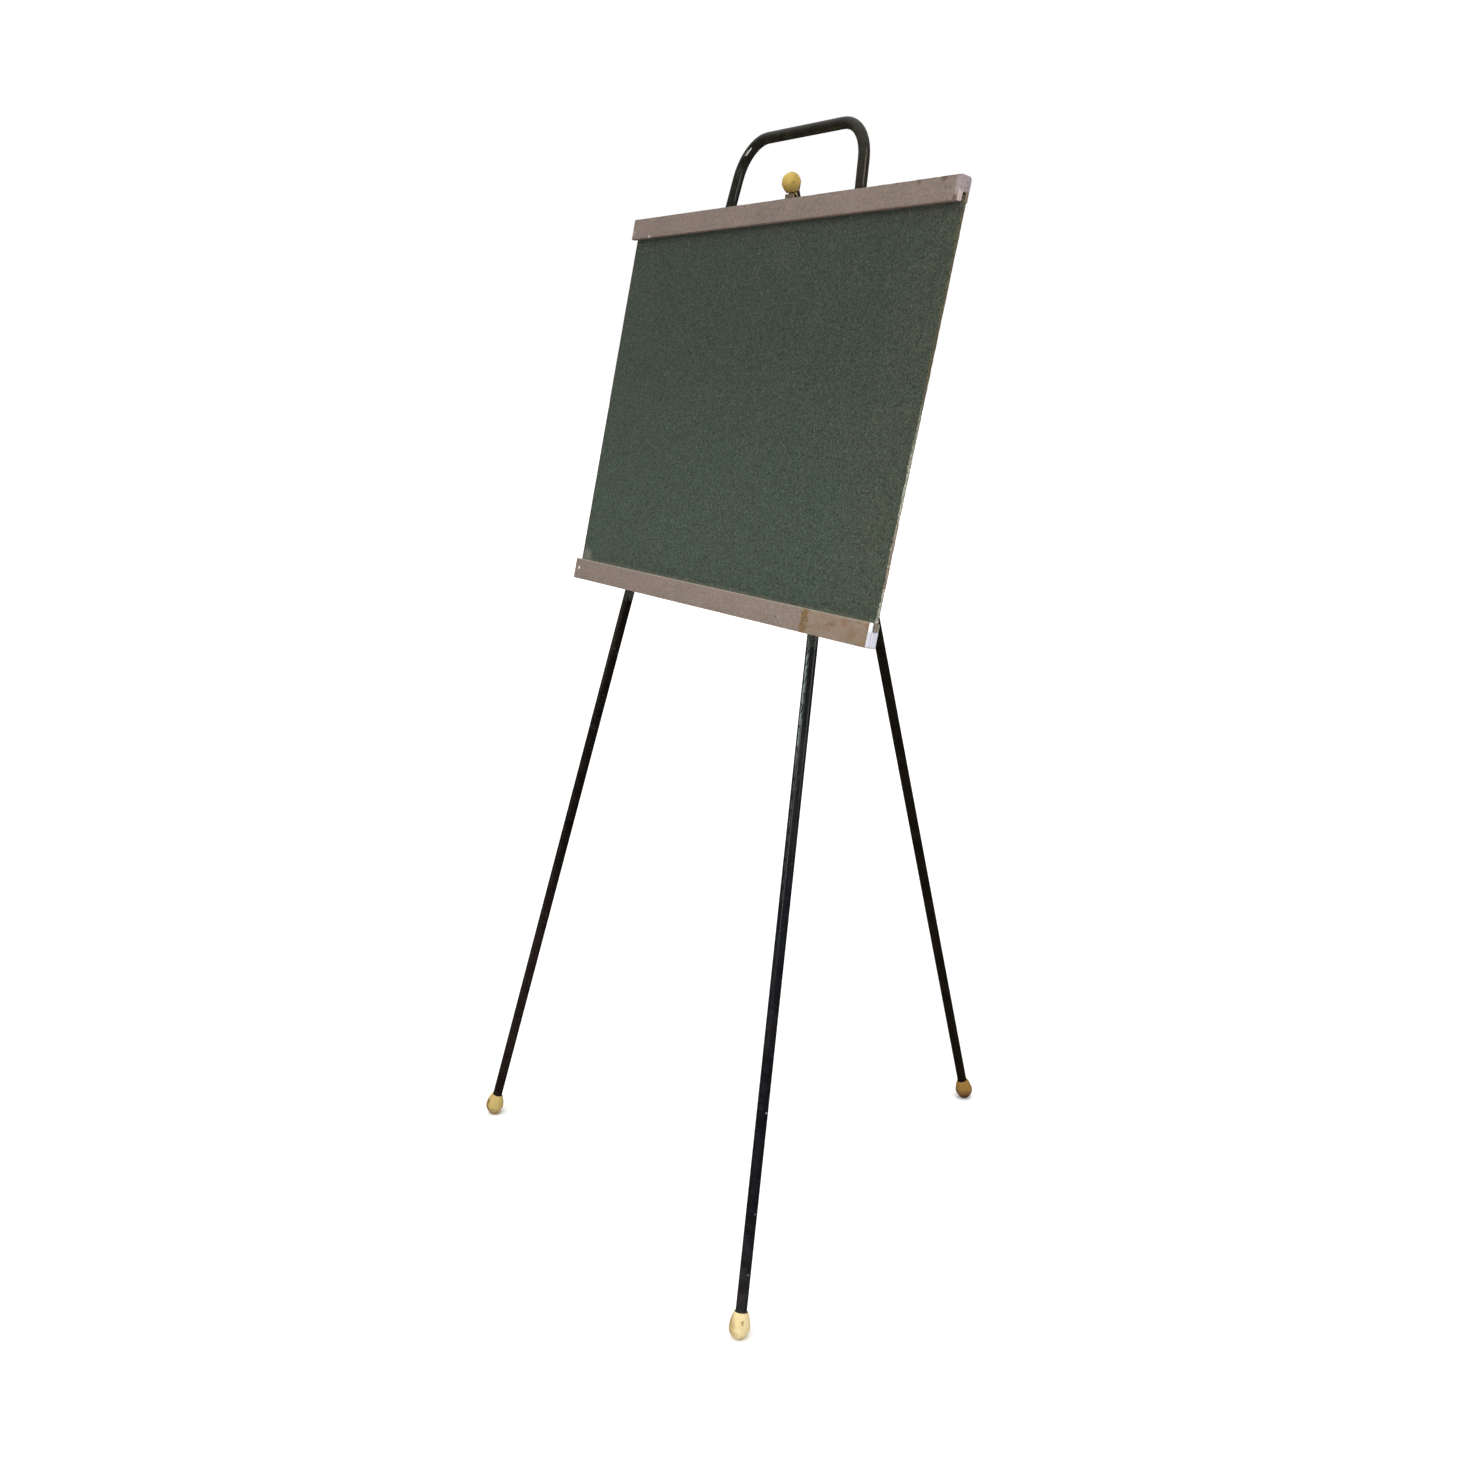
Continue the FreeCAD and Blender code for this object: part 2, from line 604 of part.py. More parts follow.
def build_screw(label, sign, slope_name):
    """Round-head wood screw from behind, through the tube and into the rail."""
    body = new_body(label)
    shank = DIMS["ScrewRadius"]
    head = DIMS["ScrewHeadRadius"]
    crown = DIMS["ScrewHeadTall"]
    reach = DIMS["ScrewReach"]
    dome = (head * head + crown * crown) / (2 * crown)
    spread = math.atan2(dome - crown, head)
    profile = new_sketch(body, label + "_profile", "XZ_Plane")
    corners = [V(0, -reach, 0), V(shank, -reach + 4, 0), V(shank, 0, 0), V(head, 0, 0)]
    lines = []
    for start, end in zip(corners, corners[1:]):
        lines.append(profile.addGeometry(Part.LineSegment(start, end), False))
    arc = profile.addGeometry(
        Part.ArcOfCircle(Part.Circle(V(0, crown - dome, 0), V(0, 0, 1), dome), spread, math.pi / 2), False
    )
    axis = profile.addGeometry(Part.LineSegment(V(0, crown, 0), V(0, -reach, 0)), False)
    for a, b in zip(lines, lines[1:]):
        profile.addConstraint(Sketcher.Constraint("Coincident", a, 2, b, 1))
    profile.addConstraint(Sketcher.Constraint("Coincident", lines[-1], 2, arc, 1))
    profile.addConstraint(Sketcher.Constraint("Coincident", arc, 2, axis, 1))
    profile.addConstraint(Sketcher.Constraint("Coincident", axis, 2, lines[0], 1))
    profile.addConstraint(Sketcher.Constraint("PointOnObject", lines[0], 1, -2))
    profile.addConstraint(Sketcher.Constraint("PointOnObject", arc, 3, -2))
    profile.addConstraint(Sketcher.Constraint("PointOnObject", arc, 2, -2))
    profile.addConstraint(Sketcher.Constraint("Vertical", lines[1]))
    profile.addConstraint(Sketcher.Constraint("PointOnObject", lines[2], 1, -1))
    profile.addConstraint(Sketcher.Constraint("PointOnObject", lines[2], 2, -1))
    for kind, geo, pos, value, formula in (
        ("DistanceY", lines[0], 1, -reach, "-1 * Dims.ScrewReach"),
        ("DistanceX", lines[1], 1, shank, "Dims.ScrewRadius"),
        ("DistanceY", lines[1], 1, -reach + 4, "4 - Dims.ScrewReach"),
        ("DistanceX", lines[2], 2, head, "Dims.ScrewHeadRadius"),
        ("DistanceY", arc, 2, crown, "Dims.ScrewHeadTall"),
    ):
        number = profile.addConstraint(Sketcher.Constraint(kind, -1, 1, geo, pos, value))
        profile.setExpression("Constraints[%d]" % number, formula)
    doc.recompute()
    turned = body.newObject("PartDesign::Revolution", label + "_turned")
    turned.Profile = profile
    turned.ReferenceAxis = (profile, ["V_Axis"])
    turned.Angle = 360
    profile.Visibility = False
    body.Tip = turned
    doc.recompute()
    slot = new_sketch(body, label + "_slot", "XY_Plane", FreeCAD.Placement(V(0, 0, crown), FreeCAD.Rotation()))
    half = DIMS["ScrewSlot"] / 2
    add_polygon(slot, [
        ((-head - 1, "-1 * Dims.ScrewHeadRadius - 1"), (-half, "-0.5 * Dims.ScrewSlot")),
        ((head + 1, "Dims.ScrewHeadRadius + 1"), (-half, "-0.5 * Dims.ScrewSlot")),
        ((head + 1, "Dims.ScrewHeadRadius + 1"), (half, "0.5 * Dims.ScrewSlot")),
        ((-head - 1, "-1 * Dims.ScrewHeadRadius - 1"), (half, "0.5 * Dims.ScrewSlot")),
    ])
    doc.recompute()
    pocket_both_ways(body, slot, label + "_slot_cut", "0.8 * Dims.ScrewHeadTall")
    slope = DIMS[slope_name]
    face_back = FreeCAD.Rotation(V(1, 0, 0), -90)
    body.Placement = FreeCAD.Placement(
        frame_point(sign * leg_x(slope), DIMS["TubeRadius"], slope), frame_tilt.multiply(face_back)
    )
    return keep(body)


# ---------------------------------------------------------------- rear leg

knob_seat = leg_length - DIMS["KnobNose"]
rear_seat = (
    (DIMS["RearFootNose"] - DIMS["RearFootTip"]) * math.cos(leg_angle)
    + DIMS["RearFootTip"]
    - DIMS["FootWear"]
) / math.cos(leg_angle)


def build_rear_leg():
    """Straight tube with a cross hole for the pivot bolt."""
    body = new_body("rear_leg")
    start = rear_seat + 4
    end = knob_seat + 1
    section = new_sketch(
        body, "rear_leg_section", "XY_Plane", FreeCAD.Placement(V(0, 0, start), FreeCAD.Rotation())
    )
    add_circle(section, "Dims.TubeRadius", DIMS["TubeRadius"])
    add_circle(section, "Dims.TubeBore", DIMS["TubeBore"])
    doc.recompute()
    tube = body.newObject("PartDesign::Pad", "rear_leg_tube")
    tube.Profile = section
    tube.Length = end - start
    section.Visibility = False
    body.Tip = tube
    doc.recompute()
    hole = new_sketch(body, "rear_leg_hole", "YZ_Plane")
    add_circle(hole, "Dims.LegHoleRadius", DIMS["LegHoleRadius"], (0, pivot_along), ("0 * 1mm", None))
    pocket_both_ways(body, hole, "rear_leg_pivot_hole", "4 * Dims.TubeRadius")
    body.Placement = on_leg
    return keep(body)


# ---------------------------------------------------------------- beads

def seat_height(prefix, upright):
    """Height of a tilted bead's greatest circle when its worn nose rests on the floor."""
    tip = DIMS[prefix + "Tip"]
    return (DIMS[prefix + "Nose"] - tip) * upright + tip - DIMS["FootWear"]


def build_bead(label, prefix, placement, socket_from, worn):
    """Turned egg-shaped bead about local Z, greatest circle at z = 0, blind socket from above."""
    body = new_body(label + "_turning" if worn else label)
    girth = DIMS[prefix + "Radius"]
    nose = DIMS[prefix + "Nose"]
    tip = DIMS[prefix + "Tip"]
    rim = DIMS[prefix + "Rim"]
    rise = DIMS[prefix + "Shoulder"]
    bore = DIMS["TubeRadius"]
    belly = (girth ** 2 + (nose - tip) ** 2 - tip ** 2) / (2 * (girth - tip))
    flank = ((girth - rim) ** 2 + rise ** 2) / (2 * (girth - rim))
    join = math.atan2(tip - nose, belly - girth)

    profile = new_sketch(body, label + "_profile", "XZ_Plane")
    up = V(0, 0, 1)
    tip_arc = profile.addGeometry(
        Part.ArcOfCircle(Part.Circle(V(0, tip - nose, 0), up, tip), -math.pi / 2, join), False
    )
    belly_arc = profile.addGeometry(
        Part.ArcOfCircle(Part.Circle(V(girth - belly, 0, 0), up, belly), join, 0), False
    )
    flank_arc = profile.addGeometry(
        Part.ArcOfCircle(Part.Circle(V(girth - flank, 0, 0), up, flank), 0, math.asin(rise / flank)), False
    )
    corners = [V(rim, rise, 0), V(bore, rise, 0), V(bore, socket_from, 0), V(0, socket_from, 0), V(0, -nose, 0)]
    lines = []
    for start, end in zip(corners, corners[1:]):
        lines.append(profile.addGeometry(Part.LineSegment(start, end), False))
    profile.addConstraint(Sketcher.Constraint("Tangent", tip_arc, 2, belly_arc, 1))
    chain = [belly_arc, flank_arc] + lines + [tip_arc]
    for first, second in zip(chain, chain[1:]):
        profile.addConstraint(Sketcher.Constraint("Coincident", first, 2, second, 1))
    profile.addConstraint(Sketcher.Constraint("PointOnObject", tip_arc, 3, -2))
    profile.addConstraint(Sketcher.Constraint("PointOnObject", tip_arc, 1, -2))
    for arc in (belly_arc, flank_arc):
        profile.addConstraint(Sketcher.Constraint("PointOnObject", arc, 3, -1))
    profile.addConstraint(Sketcher.Constraint("PointOnObject", belly_arc, 2, -1))
    for kind, geo, pos, value, formula in (
        ("DistanceY", tip_arc, 1, -nose, "-1 * Dims.%sNose" % prefix),
        ("DistanceX", belly_arc, 2, girth, "Dims.%sRadius" % prefix),
        ("DistanceX", lines[0], 1, rim, "Dims.%sRim" % prefix),
        ("DistanceY", lines[0], 1, rise, "Dims.%sShoulder" % prefix),
        ("DistanceX", lines[1], 1, bore, "Dims.TubeRadius"),
        ("DistanceY", lines[1], 2, socket_from, None),
    ):
        number = profile.addConstraint(Sketcher.Constraint(kind, -1, 1, geo, pos, value))
        if formula:
            profile.setExpression("Constraints[%d]" % number, formula)
    number = profile.addConstraint(Sketcher.Constraint("Radius", tip_arc, tip))
    profile.setExpression("Constraints[%d]" % number, "Dims.%sTip" % prefix)
    profile.addConstraint(Sketcher.Constraint("Horizontal", lines[0]))
    profile.addConstraint(Sketcher.Constraint("Vertical", lines[1]))
    profile.addConstraint(Sketcher.Constraint("Horizontal", lines[2]))
    profile.addConstraint(Sketcher.Constraint("PointOnObject", lines[3], 1, -2))
    doc.recompute()
    turned = body.newObject("PartDesign::Revolution", label + "_turned")
    turned.Profile = profile
    turned.ReferenceAxis = (profile, ["V_Axis"])
    turned.Angle = 360
    profile.Visibility = False
    body.Tip = turned
    body.Placement = placement
    if not worn:
        return keep(body)
    centre = placement.Base
    floor = primitive(
        "Part::Box",
        label + "_floor",
        FreeCAD.Placement(V(centre.x - 50, centre.y - 50, -20), FreeCAD.Rotation()),
    )
    floor.Length = 100
    floor.Width = 100
    floor.Height = 20
    return keep(combine("Part::Cut", label, body, floor))


def front_foot(label, prefix, sign):
    """Bead on a front leg, lowered by its worn flat so that the flat lies on the floor."""
    swing = FreeCAD.Rotation(V(0, 1, 0), -sign * math.degrees(splay))
    turn = frame_tilt.multiply(swing)
    upright = turn.multVec(V(0, 0, 1)).z
    slope = seat_height(prefix, upright) / math.cos(lean)
    place = FreeCAD.Placement(frame_point(sign * leg_x(slope), 0, slope), turn)
    socket_from = (DIMS["LegTubeStart"] - slope) / math.cos(splay)
    return build_bead(label, prefix, place, socket_from, True)


build_front_frame()
build_cross_bar()
build_ear("left_hinge_ear", -1)
build_ear("right_hinge_ear", 1)
build_pivot_hardware()
build_rail("top_rail", "Top", False)
build_rail("bottom_rail", "Bottom", True)
build_stop_block()
for side, sign in (("left", -1), ("right", 1)):
    build_screw("top_rail_%s_screw" % side, sign, "TopScrewSlope")
    build_screw("bottom_rail_%s_screw" % side, sign, "BottomScrewSlope")
front_foot("left_foot", "LeftFoot", -1)
front_foot("right_foot", "RightFoot", 1)
build_board()
build_rear_leg()
build_bead(
    "rear_foot",
    "RearFoot",
    FreeCAD.Placement(leg_foot + leg_tilt.multVec(V(0, 0, rear_seat)), leg_tilt),
    4,
    True,
)
build_bead(
    "top_knob",
    "Knob",
    FreeCAD.Placement(
        leg_foot + leg_tilt.multVec(V(0, 0, knob_seat)),
        leg_tilt.multiply(FreeCAD.Rotation(V(1, 0, 0), 180)),
    ),
    -1,
    False,
)
doc.recompute()

for obj in doc.Objects:
    bad = [word for word in obj.State if word in ("Invalid", "Error")]
    if bad:
        raise RuntimeError("%s is %s" % (obj.Label, ", ".join(bad)))

os.makedirs("parts", exist_ok=True)
for obj in NODES:
    shape = obj.Shape
    if shape.isNull() or not shape.isValid() or len(shape.Solids) != 1:
        raise RuntimeError("%s has no single valid solid" % obj.Label)
    shape.exportStep(os.path.join("parts", obj.Label + ".step"))
    box = shape.BoundBox
    print("%-26s volume %10.1f  x %.1f %.1f  y %.1f %.1f  z %.2f %.2f" % (
        obj.Label, shape.Volume, box.XMin, box.XMax, box.YMin, box.YMax, box.ZMin, box.ZMax))
print("open angle %.3f deg, pivot at %s, leg length %.2f" % (
    math.degrees(open_angle), frame_point(DIMS["LegPlaneX"], pivot_back, DIMS["PivotSlope"]), leg_length))
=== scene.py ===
import functools
import math

import bmesh
import bpy
import numpy as np
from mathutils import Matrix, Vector


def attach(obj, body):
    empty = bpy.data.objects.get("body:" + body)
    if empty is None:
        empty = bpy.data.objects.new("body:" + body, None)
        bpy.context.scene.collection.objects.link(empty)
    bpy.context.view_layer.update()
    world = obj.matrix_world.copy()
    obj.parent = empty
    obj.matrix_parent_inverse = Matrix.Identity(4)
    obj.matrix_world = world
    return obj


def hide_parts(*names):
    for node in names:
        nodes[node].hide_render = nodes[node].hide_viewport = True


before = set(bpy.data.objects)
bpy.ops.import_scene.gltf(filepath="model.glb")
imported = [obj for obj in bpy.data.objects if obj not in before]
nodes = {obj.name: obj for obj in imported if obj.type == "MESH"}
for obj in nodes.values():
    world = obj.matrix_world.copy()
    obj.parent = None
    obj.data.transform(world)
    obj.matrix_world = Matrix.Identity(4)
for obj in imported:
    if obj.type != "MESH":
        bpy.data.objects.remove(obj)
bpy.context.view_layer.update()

MM = 0.001
LEAN = math.radians(12.4)  # the front frame leans back by this
FOOT_OUT, FOOT_BACK = 0.373, -0.3611  # where a front leg's axis meets the floor
SPLAY = math.atan2(373 - 134, 1548)  # a front leg closes in from 373 to 134 mm over this length
LEG_ANGLE = math.radians(15.734)  # the rear leg's angle from upright
TUBE = 7.5 * MM
CAMERA_AZIMUTH = math.radians(58.678)
CAMERA_ELEVATION = math.radians(16.68)
CAMERA_PLACE = (1.8296, -1.35605, 1.2242)
CAMERA_LENS = 38.69
CAMERA_SHIFT = (0.0422, 0.0672)


def new_object(name, data):
    made = bpy.data.objects.new(name, data)
    bpy.context.scene.collection.objects.link(made)
    return made


# ---- camera

def make_camera():
    data = bpy.data.cameras.new("camera")
    cam = new_object("camera", data)
    data.sensor_fit = "HORIZONTAL"
    data.sensor_width = 36
    data.lens = CAMERA_LENS
    data.shift_x, data.shift_y = CAMERA_SHIFT
    cam.location = CAMERA_PLACE
    cam.rotation_euler = (math.pi / 2 - CAMERA_ELEVATION, 0, CAMERA_AZIMUTH)
    bpy.context.scene.camera = cam


make_camera()
front_right = Vector((math.cos(CAMERA_AZIMUTH), math.sin(CAMERA_AZIMUTH), 0))
front_near = Vector((
    math.sin(CAMERA_AZIMUTH) * math.cos(CAMERA_ELEVATION),
    -math.cos(CAMERA_AZIMUTH) * math.cos(CAMERA_ELEVATION),
    math.sin(CAMERA_ELEVATION),
))
front_up = front_near.cross(front_right)


def aim(right, up, near=None):
    """Direction towards the front view's right, up and near side; near fills up to length 1."""
    if near is None:
        near = math.sqrt(max(0.0, 1 - right * right - up * up))
    return (front_right * right + front_up * up + front_near * near).normalized()


# ---- smooth noise for the meshes

@functools.lru_cache(maxsize=None)
def random_table(seed, *size):
    """Values from -1 to 1, the same in every run."""
    return np.random.default_rng(seed).uniform(-1, 1, size)


def ripple(at, size, seed):
    """Smooth noise from -1 to 1 along one axis."""
    table = random_table(seed, 2048)
    t = np.asarray(at, float) / size + 500
    i = np.floor(t).astype(int)
    f = t - i
    f = f * f * (3 - 2 * f)
    return table[i % 2048] * (1 - f) + table[(i + 1) % 2048] * f


def field(u, v, size_u, size_v, seed):
    """Smooth noise from -1 to 1 over two axes."""
    table = random_table(seed, 256, 256)
    tu = np.asarray(u, float) / size_u + 500
    tv = np.asarray(v, float) / size_v + 500
    iu, iv = np.floor(tu).astype(int), np.floor(tv).astype(int)
    fu, fv = tu - iu, tv - iv
    fu, fv = fu * fu * (3 - 2 * fu), fv * fv * (3 - 2 * fv)
    near = table[iu % 256, iv % 256] * (1 - fu) + table[(iu + 1) % 256, iv % 256] * fu
    far = table[iu % 256, (iv + 1) % 256] * (1 - fu) + table[(iu + 1) % 256, (iv + 1) % 256] * fu
    return near * (1 - fv) + far * fv


def hump(at, centre, width):
    """One smooth hump of height 1."""
    return np.exp(-(((np.asarray(at, float) - centre) / width) ** 2))


# ---- the front frame's own axes

def slant(x, back, slope):
    """Points from the front frame's axes: along the rails, behind the frame and up its slope."""
    y = back * math.cos(LEAN) + slope * math.sin(LEAN)
    z = slope * math.cos(LEAN) - back * math.sin(LEAN)
    return np.stack(np.broadcast_arrays(x, y, z), axis=-1)


def slant_box(node):
    """Lowest and highest (x, back, slope) of a CAD node."""
    co = np.array([v.co for v in nodes[node].data.vertices], float)
    back = co[:, 1] * math.cos(LEAN) - co[:, 2] * math.sin(LEAN)
    slope = co[:, 1] * math.sin(LEAN) + co[:, 2] * math.cos(LEAN)
    own = np.stack([co[:, 0], back, slope], axis=1)
    return own.min(0), own.max(0)


def leg_axis(sign):
    """Direction up a front leg; sign is 1 for the right one."""
    return Vector(slant(-sign * math.sin(SPLAY), 0, math.cos(SPLAY)))


rear_axis = Vector((0, -math.sin(LEG_ANGLE), math.cos(LEG_ANGLE)))


def tube_sides(axis):
    """Directions across a tube: to the front view's right, and towards the side that it shows."""
    side = (front_right - axis * front_right.dot(axis)).normalized()
    near = side.cross(axis)
    if near.dot(front_near) < 0:
        near = -near
    return side, near


# ---- meshes

def loft(rings):
    """Points and faces of a closed form through rings of points, both ends capped."""
    rings = np.asarray(rings)
    count, around = rings.shape[:2]
    faces = []
    for a in range(count - 1):
        for i in range(around):
            j = (i + 1) % around
            faces.append((a * around + i, a * around + j, (a + 1) * around + j, (a + 1) * around + i))
    faces.append(tuple(range(around)))
    faces.append(tuple(reversed(range((count - 1) * around, count * around))))
    return rings.reshape(-1, 3), faces


def new_piece(name, rings, body, stands_for, slot, crisp, **values):
    """A lofted piece riding on a body; edges that turn by more than crisp degrees stay sharp."""
    points, faces = loft(rings)
    mesh = bpy.data.meshes.new(name)
    mesh.from_pydata(points.tolist(), [], faces)
    for key, data in values.items():
        attribute = mesh.attributes.new(key, "FLOAT", "POINT")
        attribute.data.foreach_set("value", np.asarray(data, np.float32).ravel())
    mesh.polygons.foreach_set("use_smooth", [True] * len(mesh.polygons))
    build = bmesh.new()
    build.from_mesh(mesh)
    bmesh.ops.recalc_face_normals(build, faces=build.faces)
    for edge in build.edges:
        if len(edge.link_faces) == 2:
            edge.smooth = edge.calc_face_angle(0) < math.radians(crisp)
    build.to_mesh(mesh)
    build.free()
    piece = new_object(name, mesh)
    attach(piece, body)
    if stands_for:
        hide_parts(*stands_for)
    return piece


# ---- shaders

class Look:
    """A procedural material, or the world's background, built node by node."""

    def __init__(self, name, family=bpy.data.materials, shader="Principled BSDF"):
        self.mat = family.new(name)
        self.mat.use_nodes = True
        self.tree = self.mat.node_tree
        self.shader = self.tree.nodes[shader]
        self.place = self.node("TexCoord").outputs["Object"]

    def node(self, kind, feeds=(), **props):
        """A new node; feeds says what goes into its inputs, by name or number."""
        made = self.tree.nodes.new("ShaderNode" + kind)
        for key, value in props.items():
            setattr(made, key, value)
        for key, value in dict(feeds).items():
            self.feed(made.inputs[key], value)
        return made

    def feed(self, socket, value):
        if isinstance(value, bpy.types.NodeSocket):
            self.tree.links.new(value, socket)
        elif isinstance(value, tuple) and len(value) == 3 and socket.type == "RGBA":
            socket.default_value = (*value, 1)
        else:
            socket.default_value = value

    def maths(self, operation, a, b=0.0):
        return self.node("Math", {0: a, 1: b}, operation=operation).outputs[0]

    def times(self, a, b):
        return self.maths("MULTIPLY", a, b)

    def plus(self, a, b):
        return self.maths("ADD", a, b)

    def vector(self, operation, a, b, output=0):
        second = "Scale" if operation == "SCALE" else 1
        return self.node("VectorMath", {0: a, second: b}, operation=operation).outputs[output]

    def shade(self, colour, factor):
        """The same colour, lighter or darker."""
        return self.vector("SCALE", colour, factor)

    def moved(self, scale=(1, 1, 1), offset=(0, 0, 0), turn=0.0, source=None):
        """Coordinates turned about X, scaled and shifted."""
        feeds = {"Vector": source or self.place, "Rotation": (turn, 0, 0), "Scale": scale, "Location": offset}
        return self.node("Mapping", feeds).outputs[0]

    def noise(self, scale, detail=3.0, rough=0.6, source=None, offset=None):
        if offset:
            source = self.moved(offset=offset, source=source)
        feeds = {"Vector": source or self.place, "Scale": scale, "Detail": detail, "Roughness": rough}
        return self.node("TexNoise", feeds).outputs["Fac"]

    def wobble(self, scale, amount):
        """Noise about zero."""
        return self.times(self.maths("SUBTRACT", self.noise(scale, 4, 0.68), 0.5), 2 * amount)

    def cells(self, scale):
        """Distance to the nearest of scattered points."""
        feeds = {"Vector": self.place, "Scale": scale}
        return self.node("TexVoronoi", feeds).outputs["Distance"]

    def steps(self, value, low, high, start=0.0, end=1.0):
        """Smooth step of a value between two levels."""
        feeds = {"Value": value, "From Min": low, "From Max": high, "To Min": start, "To Max": end}
        return self.node("MapRange", feeds, interpolation_type="SMOOTHSTEP").outputs["Result"]

    def uneven(self, value, scale, amount, low, high):
        """Smooth step of a value between two levels, along a wobbling line."""
        return self.steps(self.plus(value, self.wobble(scale, amount)), low, high)

    def blots(self, scale, detail, rough, low, high, source=None, offset=None):
        """Mask where a noise passes from low to high."""
        return self.steps(self.noise(scale, detail, rough, source, offset), low, high)

    def mix(self, share, a, b):
        return self.node("Mix", {"Factor": share, 6: a, 7: b}, data_type="RGBA").outputs[2]

    def over(self, colour, mask, share, tint):
        """Tint laid over a colour where the mask is, at most by share."""
        return self.mix(self.times(mask, share), colour, tint)

    def grain(self, colour, scale, low, high, share, tint, source=None, offset=None):
        """Tint where a noise passes from low to high."""
        return self.over(colour, self.blots(scale, 3, 0.65, low, high, source, offset), share, tint)

    def axes(self, source):
        """The three coordinates, one by one."""
        return self.node("SeparateXYZ", {0: source}).outputs

    def dot(self, a, direction):
        return self.vector("DOT_PRODUCT", a, tuple(direction), "Value")

    def stripe(self, foot, axis, offset, half, start, end, breaks):
        """Mask of a thin line along a tube.

        The line lies on the side the front view shows, offset to the right of the tube's middle,
        from start to end along the axis; breaks from 0 to 1 interrupts it.
        """
        side, near = tube_sides(axis)
        away = self.vector("SUBTRACT", self.place, tuple(foot))
        along = self.dot(away, axis)
        aside = self.plus(self.dot(away, side), self.wobble(28, 0.0004))
        aside = self.plus(aside, self.wobble(420, 0.0003))
        aside = self.maths("ABSOLUTE", self.maths("SUBTRACT", aside, offset))
        mask = self.steps(aside, half * 1.4, half * 0.6)
        mask = self.times(mask, self.steps(self.dot(away, near), 0.0, 0.002))
        fade = 0.15 * (end - start)
        place = self.plus(along, self.wobble(40, fade * 0.5))
        mask = self.times(mask, self.steps(place, start - fade, start + fade))
        mask = self.times(mask, self.steps(place, end + fade, end - fade))
        if breaks:
            runs = self.moved(scale=(1, 1, 0.22))
            level = 0.3 * breaks
            mask = self.times(mask, self.blots(330, 3, 0.7, 0.30 + level, 0.42 + level, runs))
        return mask

    def value(self, key):
        """A float attribute of the mesh."""
        return self.node("Attribute", attribute_name=key).outputs["Fac"]

    def spot(self, centre, radius, soft, warp, scale, source=None):
        """Mask of a spot round a point, soft at its rim and made irregular by a noise."""
        away = self.vector("SUBTRACT", source or self.place, tuple(centre))
        far = self.vector("LENGTH", away, (0, 0, 0), "Value")
        return self.uneven(self.maths("DIVIDE", far, radius), scale, warp, 1 + soft, 1 - soft)

    def finish(self, colour, rough, height=None, depth=0.001, strength=1.0, specular=0.5):
        self.feed(self.shader.inputs["Base Color"], colour)
        self.feed(self.shader.inputs["Roughness"], rough)
        self.shader.inputs["Specular IOR Level"].default_value = specular
        if height is not None:
            bump = self.node("Bump", {"Strength": strength, "Distance": depth, "Height": height})
            self.feed(self.shader.inputs["Normal"], bump.outputs[0])
        return self.mat


def dress(name, mat):
    """Gives a CAD node its better material."""
    for holder in nodes[name].material_slots:
        holder.material = mat


# ---- looks of metal

def lacquer_look(name, base, marks=None, nicks=0.3):
    """Worn semi-gloss black lacquer.

    base is a colour or a function that makes one, marks adds what is particular to one tube,
    such as its painted highlights and sheen, and nicks is how strongly the small chips show.
    """
    look = Look(name)
    colour = base(look) if callable(base) else base
    mottle = look.noise(55, 5, 0.65)
    colour = look.shade(colour, look.steps(mottle, 0.3, 0.72, 0.7, 1.8))
    colour = look.grain(colour, 900, 0.58, 0.75, 0.3, (0.016, 0.015, 0.014))
    colour = look.grain(colour, 24, 0.56, 0.68, 0.5, (0.012, 0.007, 0.005), offset=(2, 1, 3))
    sparse = look.blots(30, 2, 0.5, 0.52, 0.62)
    chips = look.times(look.steps(look.cells(230), 0.20, 0.12), sparse)
    runs = look.moved(scale=(1, 1, 0.16))
    worn = look.times(look.blots(520, 3, 0.7, 0.66, 0.72, runs), look.blots(13, 2, 0.5, 0.5, 0.6))
    chips = look.times(look.maths("MAXIMUM", chips, worn), nicks)
    colour = look.mix(chips, colour, (0.16, 0.16, 0.135))
    if marks:
        colour = marks(look, colour)
    rough = look.plus(look.steps(mottle, 0.3, 0.7, 0.16, 0.27), look.times(chips, 0.3))
    peel = look.noise(420, 3, 0.55)
    height = look.maths("SUBTRACT", look.plus(peel, look.times(mottle, 0.6)), chips)
    return look.finish(colour, rough, height, 0.00004, 0.4, 0.22)


def frame_base(look):
    """Brown-black on the left leg, blue-black on the right one, olive on the handle."""
    across, _, up = look.axes(look.place)
    middle = look.uneven(up, 12, 0.03, 0.55, 0.70)
    blue = look.mix(middle, (0.0042, 0.0048, 0.0070), (0.0088, 0.0086, 0.0098))
    green = look.mix(look.uneven(up, 12, 0.02, 0.74, 0.80), blue, (0.0036, 0.0052, 0.0044))
    right = look.mix(look.steps(up, 0.18, 0.06), green, (0.0130, 0.0122, 0.0130))
    left = look.mix(look.steps(up, 0.50, 0.25), (0.0042, 0.0031, 0.0025), (0.0100, 0.0060, 0.0052))
    colour = look.mix(look.steps(across, 0.05, 0.22), left, right)
    return look.mix(look.steps(up, 1.36, 1.42), colour, (0.0105, 0.0098, 0.0062))


def on_tube(foot, axis, along, offset):
    """Point on the side of a tube that the front view shows, offset to the right of its middle."""
    side, near = tube_sides(axis)
    return foot + axis * along + side * offset + near * math.sqrt(TUBE ** 2 - offset ** 2)


